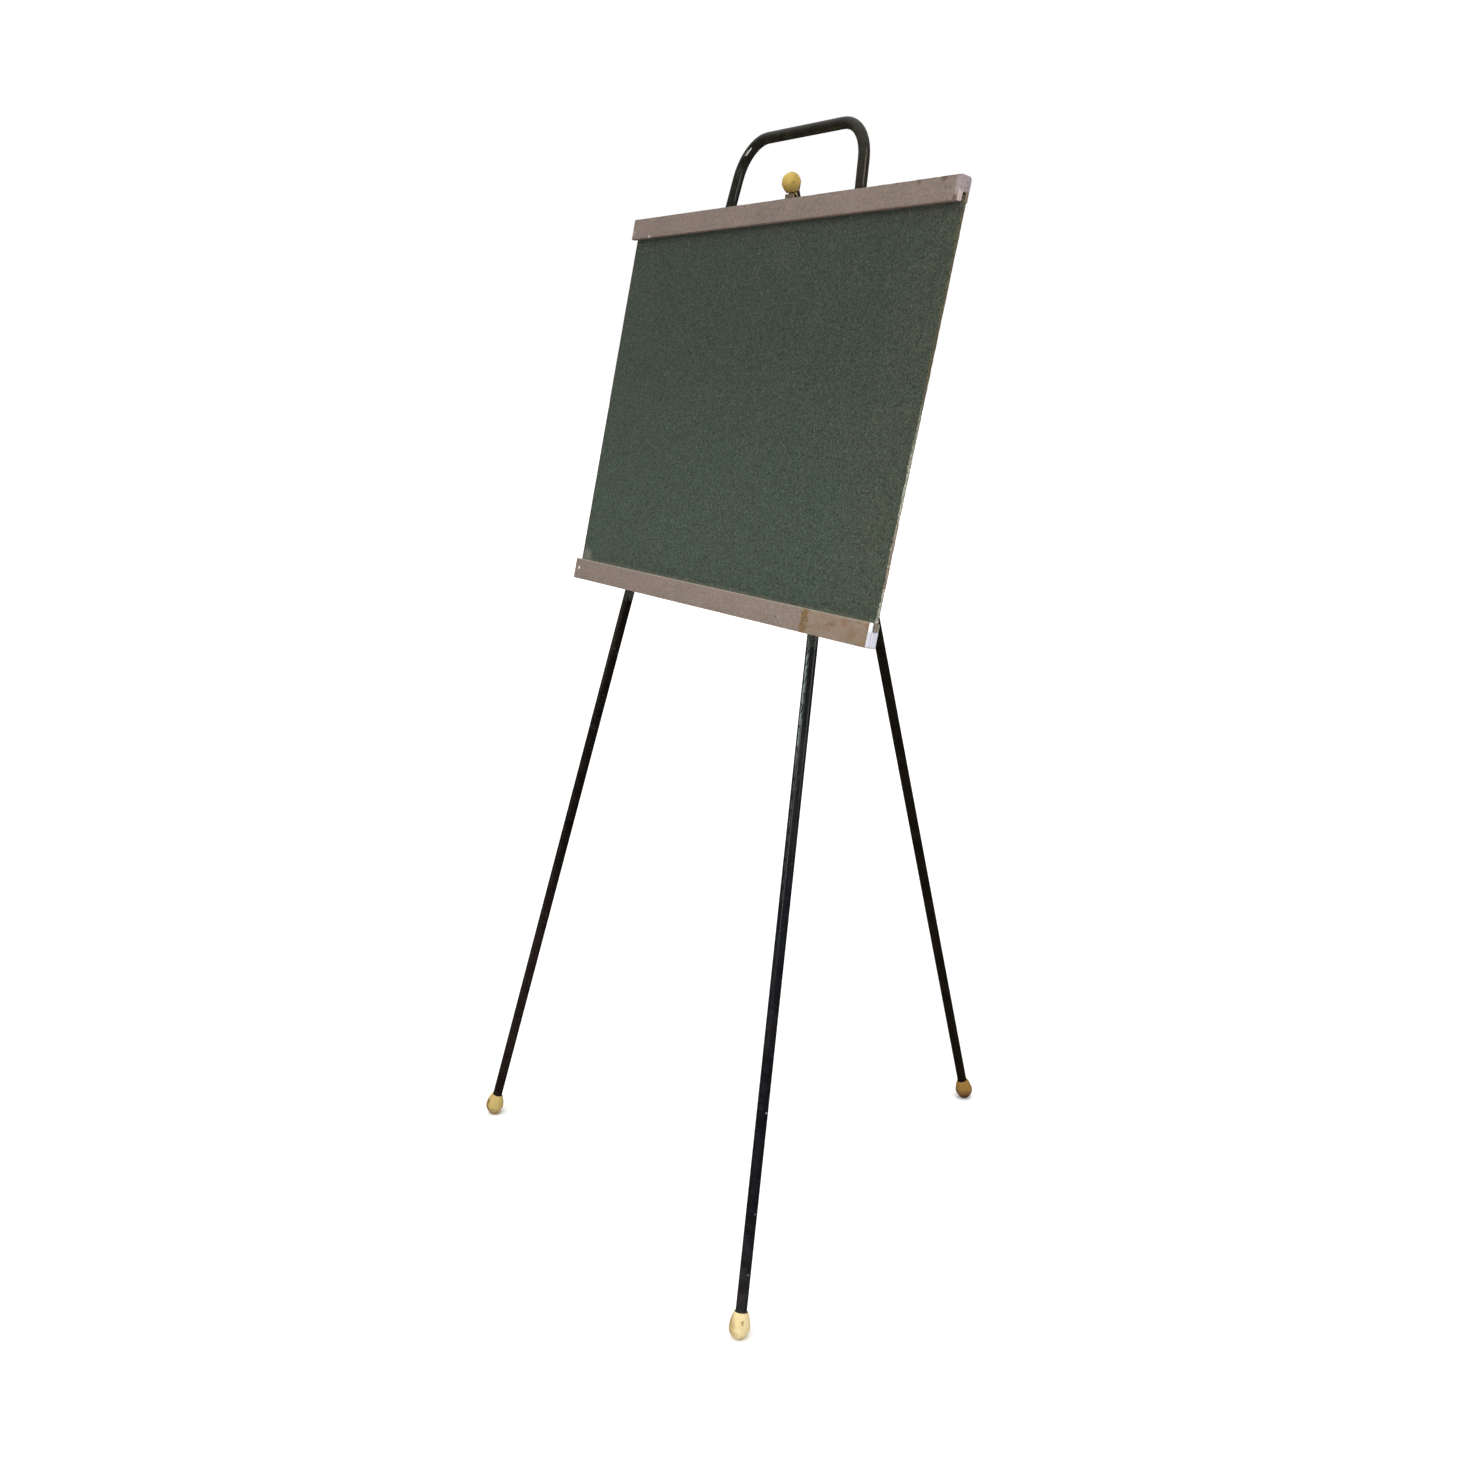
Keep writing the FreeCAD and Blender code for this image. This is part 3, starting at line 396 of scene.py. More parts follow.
def frame_highlights_and_chips(look, colour):
    """Painted highlights and sheen lines down the legs and round the handle, chips, and a painted sheen below
    the lower rail.
    """
    right = Vector((FOOT_OUT, FOOT_BACK, 0)), leg_axis(1)
    left = Vector((-FOOT_OUT, FOOT_BACK, 0)), leg_axis(-1)
    bend_place = Vector(slant(-0.1251, 0, 1.5312)) + Vector((0, FOOT_BACK, 0))
    bend = bend_place, Vector(slant(math.sqrt(0.5), 0, math.sqrt(0.5)))
    # Painted highlights and sheen: pale and bluish lines on the side of each tube that the front view shows.
    for tube, offset, half, start, end, breaks, tint, share in (
        (right, -0.0053, 0.0009, 0.765, 0.915, 0.26, (0.215, 0.262, 0.240), 0.85),
        (right, -0.0050, 0.0004, 0.600, 0.840, 0.45, (0.105, 0.110, 0.105), 0.75),
        (right, -0.0036, 0.0004, 0.760, 0.905, 0.50, (0.110, 0.120, 0.110), 0.8),
        (right, 0.0028, 0.0014, 0.740, 0.905, 0.45, (0.014, 0.018, 0.019), 0.6),
        (right, -0.0050, 0.0008, 0.380, 0.600, 0.55, (0.024, 0.026, 0.030), 0.5),
        (left, -0.0050, 0.0010, 0.740, 0.905, 0.10, (0.024, 0.022, 0.015), 0.8),
        (left, -0.0040, 0.0010, 0.200, 0.620, 0.50, (0.026, 0.020, 0.019), 0.7),
        (left, 0.0030, 0.0008, 0.080, 0.420, 0.60, (0.036, 0.028, 0.027), 0.6),
        (left, 0.0019, 0.0008, 1.487, 1.528, 0.10, (0.070, 0.094, 0.086), 0.7),
        (bend, -0.0044, 0.0006, -0.001, 0.012, 0.00, (0.620, 0.630, 0.600), 0.9),
        (bend, -0.0058, 0.0004, -0.004, 0.007, 0.00, (0.220, 0.230, 0.210), 0.7),
        (right, 0.0020, 0.0008, 1.480, 1.526, 0.15, (0.120, 0.104, 0.082), 0.85),
    ):
        line = look.stripe(*tube, offset, half, start, end, breaks)
        colour = look.over(colour, line, share, tint)
    for along, offset, size in ((0.300, 0.0048, 0.0011), (0.167, 0.0040, 0.0007), (0.087, 0.0035, 0.0007)):
        chip = look.spot(on_tube(*right, along, offset), size, 0.3, 0.3, 900)
        colour = look.over(colour, chip, 0.8, (0.42, 0.43, 0.44))
    _, _, up = look.axes(look.moved(turn=LEAN))
    foot = slant_box("bottom_rail")[0][2]
    # Painted sheen: a grey-green band across the legs just below the lower rail.
    sheen_below_rail = look.uneven(up, 160, 0.006, foot - 0.020, foot - 0.010)
    sheen_below_rail = look.times(sheen_below_rail, look.steps(up, foot + 0.004, foot + 0.001))
    sheen_below_rail = look.times(sheen_below_rail, look.blots(420, 4, 0.7, 0.42, 0.60))
    return look.over(colour, sheen_below_rail, 0.75, (0.075, 0.082, 0.074))


def steel_look(name):
    """Dull zinc-plated steel, spotted with rust."""
    look = Look(name)
    tarnish = look.noise(600, 5, 0.7)
    colour = look.mix(look.steps(tarnish, 0.35, 0.7), (0.34, 0.33, 0.31), (0.16, 0.13, 0.10))
    colour = look.grain(colour, 900, 0.60, 0.70, 1.0, (0.16, 0.06, 0.02))
    look.shader.inputs["Metallic"].default_value = 0.85
    rough = look.steps(tarnish, 0.3, 0.7, 0.32, 0.6)
    return look.finish(colour, rough, look.noise(2500, 2, 0.6), 0.00005, 0.5)


def dress_metal():
    dress("front_frame", lacquer_look("black_lacquer_frame", frame_base, frame_highlights_and_chips))
    dress("rear_leg", lacquer_look("black_lacquer_rear_leg", (0.0056, 0.0038, 0.0022), nicks=0.08))
    fittings = lacquer_look("black_lacquer_fittings", (0.009, 0.008, 0.007), nicks=0.8)
    for part in ("cross_bar", "left_hinge_ear", "right_hinge_ear"):
        dress(part, fittings)
    steel = steel_look("dull_steel")
    for part in ("pivot_bolt", "left_spacer", "right_spacer", "pivot_washer", "pivot_nut",
                 "top_rail_left_screw", "top_rail_right_screw",
                 "bottom_rail_left_screw", "bottom_rail_right_screw"):
        dress(part, steel)


dress_metal()


# ---- rails

TAUPE = (0.216, 0.170, 0.145)
EDGE_STEPS = 4  # facets of a rail's rounded edge


def rail_section(low, high, opens_up):
    """Corners (back, slope) of a grooved rail, their radii in mm, and which of them are worn."""
    lip, width, deep = 5.8 * MM, 5.6 * MM, 11.0 * MM
    front, rear, foot, head = low[1], high[1], low[2], high[2]
    g0, g1 = front + lip, front + lip + width
    if opens_up:
        corners = [(front, foot), (front, head), (g0, head), (g0, head - deep),
                   (g1, head - deep), (g1, head), (rear, head), (rear, foot)]
        return np.array(corners), [1.1, 1.1, 0.7, 0.4, 0.4, 0.7, 1.9, 1.1], (0, 1, 2, 6, 7)
    corners = [(front, foot), (front, head), (rear, head), (rear, foot),
               (g1, foot), (g1, foot + deep), (g0, foot + deep), (g0, foot)]
    return np.array(corners), [1.2, 1.3, 3.4, 1.2, 0.6, 0.4, 0.4, 0.6], (0, 1, 2, 3)


def make_rail(name, opens_up, seed, nicks):
    """A grooved rail with worn, nicked edges; a nick is (along, corner, width, depth)."""
    low, high = slant_box(name)
    corners, radii, worn_corners = rail_section(low, high, opens_up)
    ends = np.array([0, 0.25, 0.6, 1.0]) * MM
    middle = np.linspace(low[0] + 2 * MM, high[0] - 2 * MM, 420)
    x = np.concatenate([low[0] + ends, middle, (high[0] - ends)[::-1]])
    inset = np.zeros(len(x))
    inset[:4] = np.array([0.7, 0.33, 0.08, 0]) * MM
    inset[-4:] = inset[:4][::-1]
    columns, worn, chip = [], [], []
    for i, here in enumerate(corners):
        before, after = corners[i - 1], corners[(i + 1) % len(corners)]
        radius = np.full(len(x), radii[i] * MM)
        wear, nick = np.full(len(x), 0.35), np.zeros(len(x))
        if i in worn_corners:
            wave = 0.35 * ripple(x, 0.013, seed + i) + 0.25 * ripple(x, 0.0031, seed + 20 + i)
            radius *= 1 + wave
            wear = 0.55 + 0.6 * wave
            for along, corner, wide, deep in nicks:
                if corner == i:
                    hit = hump(x, low[0] + along, wide)
                    radius += deep * hit
                    nick = np.maximum(nick, hit)
        a = (before - here) / np.linalg.norm(before - here)
        b = (after - here) / np.linalg.norm(after - here)
        for j in range(EDGE_STEPS + 1):
            t = math.pi / 2 * j / EDGE_STEPS
            pull = a * (1 - math.sin(t)) + b * (1 - math.cos(t))
            columns.append(here + radius[:, None] * pull)
            inner = 0 < j < EDGE_STEPS
            worn.append(wear if inner else wear * 0)
            chip.append(nick * (1.0 if inner else 0.3))
        reach = np.linalg.norm(after - here)
        for j in range(1, 4 if reach > 9 * MM else 1):
            columns.append(np.broadcast_to(here + (after - here) * j / 4, (len(x), 2)))
            worn.append(wear * 0)
            chip.append(wear * 0)
    ring = np.stack(columns, axis=1)
    out = ring - ring.mean(axis=1, keepdims=True)
    out /= np.maximum(np.linalg.norm(out, axis=2, keepdims=True), 1e-6)
    along = np.broadcast_to(x[:, None], ring.shape[:2])
    hand = field(along, ring[..., 0] * 3 + ring[..., 1], 0.05, 0.02, seed + 50) * 0.10 * MM
    ring = ring + out * (hand - inset[:, None])[..., None]
    return new_piece(
        name + "_painted", slant(along, ring[..., 0], ring[..., 1]), "frame", (name,), "taupe_paint", 42,
        worn=np.stack(worn, axis=1), chip=np.stack(chip, axis=1))


def paint_look(name, marks):
    """Matt taupe paint on wood, worn along the edges; marks adds what is particular to one rail, painted
    light and shade included.
    """
    look = Look(name)
    own = look.moved(turn=LEAN)
    brushed = look.noise(5, 4, 0.6, look.moved(scale=(6, 120, 120), source=own))
    patches = look.blots(16, 4, 0.6, 0.3, 0.7, own)
    colour = look.mix(patches, look.shade(TAUPE, 0.93), look.shade(TAUPE, 1.06))
    colour = look.shade(colour, look.steps(brushed, 0.3, 0.75, 1.04, 0.92))
    colour = look.grain(colour, 110, 0.45, 0.65, 0.5, (0.232, 0.160, 0.145))
    colour = look.grain(colour, 130, 0.50, 0.68, 0.5, (0.185, 0.165, 0.128), offset=(5, 2, 7))
    colour = look.shade(colour, look.steps(look.noise(300, 3, 0.7), 0.3, 0.7, 0.78, 1.16))
    colour = look.grain(colour, 1100, 0.60, 0.74, 0.50, (0.085, 0.060, 0.048), offset=(3, 1, 2))
    colour = look.grain(colour, 900, 0.60, 0.75, 0.35, (0.33, 0.28, 0.25))
    sparse = look.blots(36, 2, 0.5, 0.52, 0.60)
    specks = look.times(look.steps(look.cells(210), 0.13, 0.07), sparse)
    colour = look.over(colour, specks, 0.75, (0.045, 0.030, 0.024))
    pale = look.uneven(look.value("worn"), 420, 0.55, 0.66, 0.84)
    colour = look.over(colour, pale, 0.6, (0.36, 0.315, 0.275))
    bare = look.uneven(look.value("chip"), 700, 0.4, 0.50, 0.62)
    colour = look.mix(bare, colour, (0.24, 0.16, 0.10))
    colour = marks(look, own, colour)
    rough = look.steps(brushed, 0.3, 0.7, 0.58, 0.75)
    height = look.plus(look.times(brushed, 0.8), look.times(look.noise(900, 3, 0.6), 0.35))
    height = look.maths("SUBTRACT", height, look.times(bare, 0.8))
    return look.finish(colour, rough, height, 0.0003, 0.6, 0.3)


def dabs(look, own, colour, face, rough, scale, marks):
    """Irregular dabs on a rail's front face; a mark is (along, slope, radius, tint, share)."""
    for along, slope, radius, tint, share in marks:
        mask = look.spot((along, face, slope), radius, rough, rough, scale, own)
        colour = look.over(colour, mask, share, tint)
    return colour


def top_marks(look, own, colour):
    """Lilac end grain, part its paint and part painted light from the right, a dark line along the top, a
    painted shadow line along the foot, and odd scars.
    """
    low, high = slant_box("top_rail")
    across, back, up = look.axes(own)
    colour = look.shade(colour, look.steps(across, low[0], high[0], 0.84, 0.89))
    ridge = look.uneven(up, 90, 0.0016, high[2] - 0.0016, high[2] - 0.0002)
    colour = look.over(colour, ridge, 0.55, (0.085, 0.055, 0.040))
    # Painted shadow: a dark brown line along the rail's lower edge, above the board.
    painted_shadow_line = look.uneven(up, 160, 0.0012, low[2] + 0.0016, low[2] + 0.0002)
    colour = look.over(colour, painted_shadow_line, 0.6, (0.100, 0.062, 0.048))
    colour = dabs(look, own, colour, low[1], 0.4, 350, (
        (high[0] - 0.006, low[2] + 0.004, 0.0030, (0.09, 0.05, 0.03), 0.7),
        (low[0] + 0.052, low[2] + 0.0015, 0.0024, (0.46, 0.41, 0.36), 0.9),
        (high[0] - 0.030, high[2], 0.006, (0.08, 0.050, 0.035), 0.7),
        (high[0] - 0.075, high[2], 0.005, (0.09, 0.060, 0.040), 0.6),
        # These two lilac dabs by the right end are part paint and part painted light, like the end grain.
        (high[0] - 0.003, high[2] - 0.007, 0.0055, (0.30, 0.255, 0.265), 0.75),
        (high[0] - 0.002, high[2] - 0.017, 0.0060, (0.31, 0.265, 0.275), 0.7),
        (low[0] + 0.004, high[2] - 0.020, 0.0040, (0.30, 0.26, 0.23), 0.5),
    ))
    # The end grain's pale lilac is part its paint and part painted light from the right.
    smear = look.blots(260, 4, 0.7, 0.42, 0.62)
    ends = look.mix(smear, (0.300, 0.248, 0.256), (0.205, 0.162, 0.160))
    rear = look.uneven(back, 200, 0.002, low[1] + 0.0085, low[1] + 0.0105)
    foot = look.uneven(up, 200, 0.003, low[2] + 0.0145, low[2] + 0.0105)
    ends = look.over(ends, look.times(rear, foot), 0.9, (0.165, 0.130, 0.088))
    lip = look.times(look.steps(back, low[1] + 0.0062, low[1] + 0.0055), foot)
    ends = look.over(ends, lip, 0.8, (0.46, 0.37, 0.34))
    return look.mix(look.steps(across, high[0] - 0.0012, high[0] - 0.0004), colour, ends)


def bottom_marks(look, own, colour):
    """A torn strip of old glue with rusty blotches past it, nicks, and a lilac-white end, part its paint and
    part painted light from the right.
    """
    low, high = slant_box("bottom_rail")
    across, back, up = look.axes(own)
    colour = look.shade(colour, look.steps(across, low[0], high[0] - 0.2, 0.87, 0.97))
    strip = high[0] - 0.130
    place = look.plus(across, look.wobble(120, 0.010))
    past = look.steps(place, strip - 0.008, strip - 0.004)
    band = look.times(past, look.steps(place, strip + 0.010, strip + 0.004))
    colour = look.over(colour, past, 0.45, (0.240, 0.176, 0.112))
    torn = look.blots(160, 4, 0.7, 0.32, 0.54)
    colour = look.over(colour, look.times(band, torn), 0.88, (0.165, 0.098, 0.030))
    rim = look.times(band, look.blots(240, 4, 0.7, 0.54, 0.64, offset=(2, 2, 1)))
    colour = look.over(colour, rim, 0.8, (0.060, 0.032, 0.014))
    strokes = look.moved(scale=(0.35, 1, 1), source=own)
    blotch = look.blots(110, 4, 0.7, 0.50, 0.64, strokes)
    colour = look.over(colour, look.times(blotch, past), 0.5, (0.185, 0.112, 0.060))
    dark = look.blots(190, 4, 0.72, 0.56, 0.66, strokes, (3, 1, 4))
    colour = look.over(colour, look.times(dark, past), 0.58, (0.115, 0.072, 0.042))
    colour = dabs(look, own, colour, low[1], 0.5, 260, (
        (high[0] - 0.048, low[2] + 0.023, 0.0060, (0.20, 0.108, 0.062), 0.45),
        (high[0] - 0.030, low[2] + 0.012, 0.0080, (0.17, 0.100, 0.048), 0.5),
        (high[0] - 0.070, low[2] + 0.020, 0.0050, (0.18, 0.100, 0.054), 0.45),
        (high[0] - 0.008, low[2] + 0.005, 0.0090, (0.200, 0.140, 0.078), 0.6),
        (high[0] - 0.003, high[2] - 0.004, 0.0040, (0.20, 0.105, 0.060), 0.6),
    ))
    colour = dabs(look, own, colour, low[1], 0.3, 600, (
        (low[0] + 0.013, high[2] - 0.014, 0.0028, (0.56, 0.52, 0.47), 0.95),
        (low[0] + 0.0165, high[2] - 0.016, 0.0014, (0.05, 0.03, 0.02), 0.9),
        (high[0] - 0.190, low[2] + 0.012, 0.0013, (0.04, 0.028, 0.024), 0.9),
        (high[0] - 0.183, low[2] + 0.013, 0.0013, (0.36, 0.33, 0.30), 0.6),
        (high[0] - 0.118, low[2] + 0.010, 0.0012, (0.07, 0.050, 0.040), 0.8),
    ))
    head = look.uneven(up, 240, 0.0014, high[2] - 0.0016, high[2] - 0.0004)
    colour = look.over(colour, head, 0.5, (0.34, 0.31, 0.265))
    # The end's pale lilac and its white lip are part their paint and part painted light from the right.
    smear = look.blots(300, 4, 0.7, 0.50, 0.72)
    ends = look.mix(smear, (0.57, 0.57, 0.65), (0.46, 0.44, 0.51))
    lip = look.steps(back, low[1] + 0.0062, low[1] + 0.0050)
    lip = look.times(lip, look.steps(up, high[2] - 0.013, high[2] - 0.009))
    ends = look.over(ends, lip, 0.9, (0.84, 0.84, 0.85))
    wall = look.uneven(back, 300, 0.0012, low[1] + 0.0100, low[1] + 0.0116)
    wall = look.times(wall, look.uneven(up, 300, 0.002, high[2] - 0.0115, high[2] - 0.0095))
    ends = look.over(ends, wall, 0.9, (0.190, 0.165, 0.125))
    cut = look.uneven(back, 300, 0.0006, low[1] + 0.0066, low[1] + 0.0054)
    seam = look.times(cut, look.steps(back, low[1] + 0.0046, low[1] + 0.0054))
    ends = look.over(ends, seam, 0.5, (0.20, 0.185, 0.21))
    foot = look.uneven(up, 200, 0.002, low[2] + 0.003, low[2] + 0.001)
    ends = look.over(ends, foot, 0.7, (0.40, 0.33, 0.26))
    return look.mix(look.steps(across, high[0] - 0.0010, high[0] - 0.0003), colour, ends)


def block_marks(look, own, colour):
    """The stop block is darkened all over as painted shade and tinted brown in blotches, and it is dark brown
    along its left side.
    """
    low, _ = slant_box("stop_block")
    across, _, _ = look.axes(own)
    stain = look.steps(look.noise(200, 3, 0.6), 0.3, 0.7, 0.5, 1.0)
    # Painted shade: the whole block is made darker.
    colour = look.over(look.shade(colour, 0.86), stain, 0.5, (0.165, 0.108, 0.066))
    left = look.steps(across, low[0] + 0.0022, low[0] + 0.0012)
    return look.over(colour, left, 0.9, (0.035, 0.018, 0.010))


top_rail = make_rail("top_rail", False, 11, [
    (0.052, 0, 0.0020, 0.0012), (0.731, 0, 0.003, 0.0012), (0.700, 1, 0.004, 0.0010),
    (0.655, 1, 0.003, 0.0008), (0.31, 1, 0.002, 0.0006), (0.002, 1, 0.0015, 0.0010), (0.40, 2, 0.004, 0.001),
])
bottom_rail = make_rail("bottom_rail", True, 37, [
    (0.105, 1, 0.0020, 0.0014), (0.46, 1, 0.0015, 0.0006), (0.60, 1, 0.0018, 0.0008),
    (0.735, 0, 0.003, 0.0014), (0.734, 1, 0.002, 0.0010), (0.25, 0, 0.002, 0.0007), (0.5, 6, 0.003, 0.001),
])
top_rail.data.materials.append(paint_look("top_rail_paint", top_marks))
bottom_rail.data.materials.append(paint_look("bottom_rail_paint", bottom_marks))
dress("stop_block", paint_look("stop_block_paint", block_marks))


# ---- chalkboard

def ragged(rows, seed, amount, growth=0.0):
    """How far a skin has broken back from an edge, more towards the board's foot."""
    down = (rows[-1] - rows) / (rows[-1] - rows[0])
    coarse = np.abs(ripple(rows, 0.021, seed)) ** 1.5
    medium = np.clip(ripple(rows, 0.0065, seed + 1), 0, 1) ** 1.3
    fine = np.clip(ripple(rows, 0.0021, seed + 2), 0, 1)
    return amount * MM * (0.12 + (coarse * 0.9 + medium * 0.9 + fine * 0.45) * (1 + growth * down))


def make_board():
    """Panel with a raw, chipped right edge, a neater left edge and a broken upper right corner."""
    low, high = slant_box("chalkboard")
    rows = np.linspace(low[2], high[2], 505)
    front, left, right = low[1], low[0], high[0]
    back = high[1] - 0.15 * MM  # keeps clear of the grooves' rear walls
    groove_mouth = high[2] - 9 * MM
    broken = 4.6 * MM * np.clip((rows - groove_mouth) / (2.5 * MM), 0, 1)
    broken = broken * (1 + 0.12 * ripple(rows, 0.002, 91))
    edge = np.clip(0.25 + 0.25 * ripple(rows, 0.004, 25) + 0.2 * ripple(rows, 0.0015, 26), 0, 1)
    edge = 0.8 * MM * edge + broken
    skin = np.maximum(ragged(rows, 5, 1.15, 0.9) + broken, edge + 0.05 * MM)
    rear_skin = np.maximum(ragged(rows, 15, 0.6, 0.4) + broken, edge)
    left_edge = 0.5 * MM * np.clip(0.2 + 0.2 * ripple(rows, 0.005, 55), 0, 1)
    torn = (0.5 + 0.35 * ripple(rows, 0.008, 65)) * MM

    def fray(number):
        return 0.3 * MM * np.maximum(ripple(rows, 0.0016, 75 + number), 0)

    across = [4, 8, 14, 25, 45, *np.linspace(80, 658, 12), 693, 713, 724, 730]
    across = np.array(across) * MM
    columns = [(left + ragged(rows, 35, 0.25, 0.3), front, 0.0)]
    columns += [(left + at, front, 0.0) for at in across]
    columns += [(right - skin, front, 0.0), (right - np.maximum(skin * 0.8, edge), front + torn * 0.45, 1.0)]
    for number, depth in enumerate((torn, 1.4 * MM, 2.1 * MM, 2.8 * MM, back - front - torn * 0.7)):
        columns.append((right - edge - fray(number), front + depth, 1.0))
    columns.append((right - rear_skin, back, 0.6))
    columns += [(left + at, back, 0.0) for at in across[::-1]]
    columns.append((left + ragged(rows, 45, 0.3, 0.2), back, 0.6))
    for number, depth in enumerate((back - front - torn * 0.6, (back - front) / 2, torn * 0.6)):
        columns.append((left + left_edge + fray(number + 5), front + depth, 1.0))
    rings = np.stack([slant(x + rows * 0, depth + rows * 0, rows) for x, depth, _ in columns], axis=1)
    raw = np.broadcast_to([share for _, _, share in columns], rings.shape[:2])
    return new_piece("chalkboard_panel", rings, "board", ("chalkboard",), "chalkboard_green", 35, raw=raw)


def board_look():
    """Matt green chalkboard paint on hardboard: pale torn fibre at the edges, bare brown at the back."""
    look = Look("chalkboard_paint")
    own = look.moved(turn=LEAN)
    low, high = slant_box("chalkboard")
    rail_head = slant_box("bottom_rail")[1][2]
    across, back, up = look.axes(own)
    rising = look.steps(up, low[2] + 0.05, high[2] - 0.1)
    colour = look.mix(rising, (0.0455, 0.0650, 0.0485), (0.0340, 0.0480, 0.0355))
    colour = look.grain(colour, 9, 0.45, 0.72, 0.35, (0.0520, 0.0600, 0.0420), own)
    right = look.steps(across, high[0] - 0.16, high[0] - 0.005)
    colour = look.over(colour, right, 0.35, (0.062, 0.062, 0.042))
    colour = look.over(colour, look.steps(up, high[2] - 0.045, high[2] - 0.008), 0.35, (0.055, 0.050, 0.040))
    colour = look.grain(colour, 120, 0.48, 0.66, 0.40, (0.056, 0.049, 0.042), offset=(4, 1, 2))
    colour = look.grain(colour, 140, 0.48, 0.66, 0.40, (0.030, 0.052, 0.038), offset=(1, 6, 2))
    colour = look.shade(colour, look.steps(look.noise(470, 4, 0.75), 0.30, 0.70, 0.40, 1.64))
    broad = look.noise(170, 3, 0.65, offset=(3, 3, 3))
    colour = look.shade(colour, look.steps(broad, 0.30, 0.70, 0.88, 1.12))
    colour = look.over(colour, look.steps(look.cells(290), 0.26, 0.14), 0.62, (0.012, 0.016, 0.012))
    streaks = look.noise(210, 3, 0.7, look.moved(scale=(1, 1, 0.18), source=own))
    colour = look.over(colour, look.steps(streaks, 0.60, 0.70), 0.35, (0.020, 0.028, 0.022))
    specks = look.times(look.steps(look.cells(95), 0.10, 0.05), look.blots(26, 2, 0.5, 0.50, 0.56))
    colour = look.over(colour, specks, 0.75, (0.17, 0.21, 0.17))
    pits = look.blots(48, 2, 0.5, 0.52, 0.58, offset=(7, 3, 1))
    pits = look.times(look.steps(look.cells(150), 0.12, 0.06), pits)
    colour = look.over(colour, pits, 0.8, (0.012, 0.014, 0.012))
    dust = look.uneven(up, 150, 0.007, rail_head + 0.0060, rail_head - 0.001)
    dust = look.times(dust, look.steps(look.noise(260, 4, 0.75, own), 0.30, 0.62, 0.45, 1.0))
    colour = look.over(colour, dust, 0.62, (0.185, 0.185, 0.145))
    smudge = look.spot((low[0] + 0.014, low[1], rail_head + 0.004), 0.013, 0.6, 0.5, 160, own)
    colour = look.over(colour, smudge, 0.5, (0.190, 0.190, 0.160))
    seam = look.steps(across, low[0] + 0.0055, low[0] + 0.0010)
    colour = look.over(colour, seam, 0.6, (0.050, 0.038, 0.028))

    fibre = look.noise(900, 4, 0.75, look.moved(scale=(1, 1, 0.35), source=own))
    fibres = look.mix(look.steps(fibre, 0.38, 0.64), (0.110, 0.092, 0.062), (0.52, 0.55, 0.45))
    warm = look.uneven(up, 26, 0.09, low[2] + 0.17, low[2] + 0.09)
    warm = look.times(warm, look.steps(up, low[2] + 0.035, low[2] + 0.055))
    rosy = look.mix(look.steps(fibre, 0.38, 0.64), (0.085, 0.055, 0.040), (0.36, 0.265, 0.205))
    fibres = look.over(fibres, warm, 0.85, rosy)
    gaps = look.blots(150, 3, 0.7, 0.56, 0.66, offset=(9, 2, 5))
    fibres = look.over(fibres, gaps, 0.75, (0.075, 0.085, 0.065))
    foot = look.uneven(up, 30, 0.05, low[2] + 0.30, low[2] + 0.16)
    dingy = look.mix(look.steps(fibre, 0.40, 0.62), (0.045, 0.038, 0.020), (0.130, 0.115, 0.066))
    fibres = look.mix(foot, dingy, fibres)
    fibres = look.mix(look.steps(across, low[0] + 0.1, low[0] + 0.2), (0.060, 0.044, 0.030), fibres)
    in_groove = look.steps(up, rail_head + 0.001, rail_head - 0.002)
    fibres = look.over(fibres, in_groove, 0.8, (0.150, 0.110, 0.090))
    edge = look.uneven(look.value("raw"), 900, 0.25, 0.42, 0.58)

    mesh_x = look.maths("SINE", look.times(across, 2 * math.pi / 0.0017))
    mesh_up = look.maths("SINE", look.times(up, 2 * math.pi / 0.0017))
    weave = look.times(mesh_x, mesh_up)
    bare = look.mix(look.blots(14, 4, 0.6, 0.35, 0.7, own), (0.150, 0.088, 0.042), (0.115, 0.066, 0.032))
    bare = look.shade(bare, look.steps(look.noise(420, 4, 0.7), 0.3, 0.7, 0.75, 1.25))
    bare = look.shade(bare, look.steps(weave, -1, 1, 0.92, 1.06))
    behind = look.steps(back, high[1] - 0.0007, high[1] - 0.0003)
    colour = look.mix(behind, look.mix(edge, colour, fibres), bare)
    rough = look.steps(look.noise(9, 4, 0.6), 0.3, 0.7, 0.66, 0.82)
    height = look.plus(look.noise(900, 3, 0.7), look.times(edge, look.times(fibre, 3.0)))
    height = look.plus(height, look.times(behind, look.times(weave, 0.5)))
    return look.finish(colour, rough, height, 0.00025, 0.5, 0.2)


make_board().data.materials.append(board_look())


# ---- beads

def bead_frame(node, axis):
    """Centre of a bead's greatest circle, with its axis and two directions across."""
    axis = Vector(axis).normalized()
    side = (Vector((1, 0, 0)) - axis * axis.x).normalized()
    other = axis.cross(side)
    co = np.array([v.co for v in nodes[node].data.vertices], float)
    u, v, w = (co @ np.array(d) for d in (side, other, axis))
    middle_u, middle_v = (u.min() + u.max()) / 2, (v.min() + v.max()) / 2
    far = np.hypot(u - middle_u, v - middle_v)
    height = float(w[far > far.max() - 0.00002].mean())
    return side * middle_u + other * middle_v + axis * height, side, other, axis


def arc(across, up, radius, start, end, count):
    """Points (radius, height) along an arc."""
    turns = np.linspace(start, end, count)
    return [(across + radius * math.cos(t), up + radius * math.sin(t)) for t in turns]


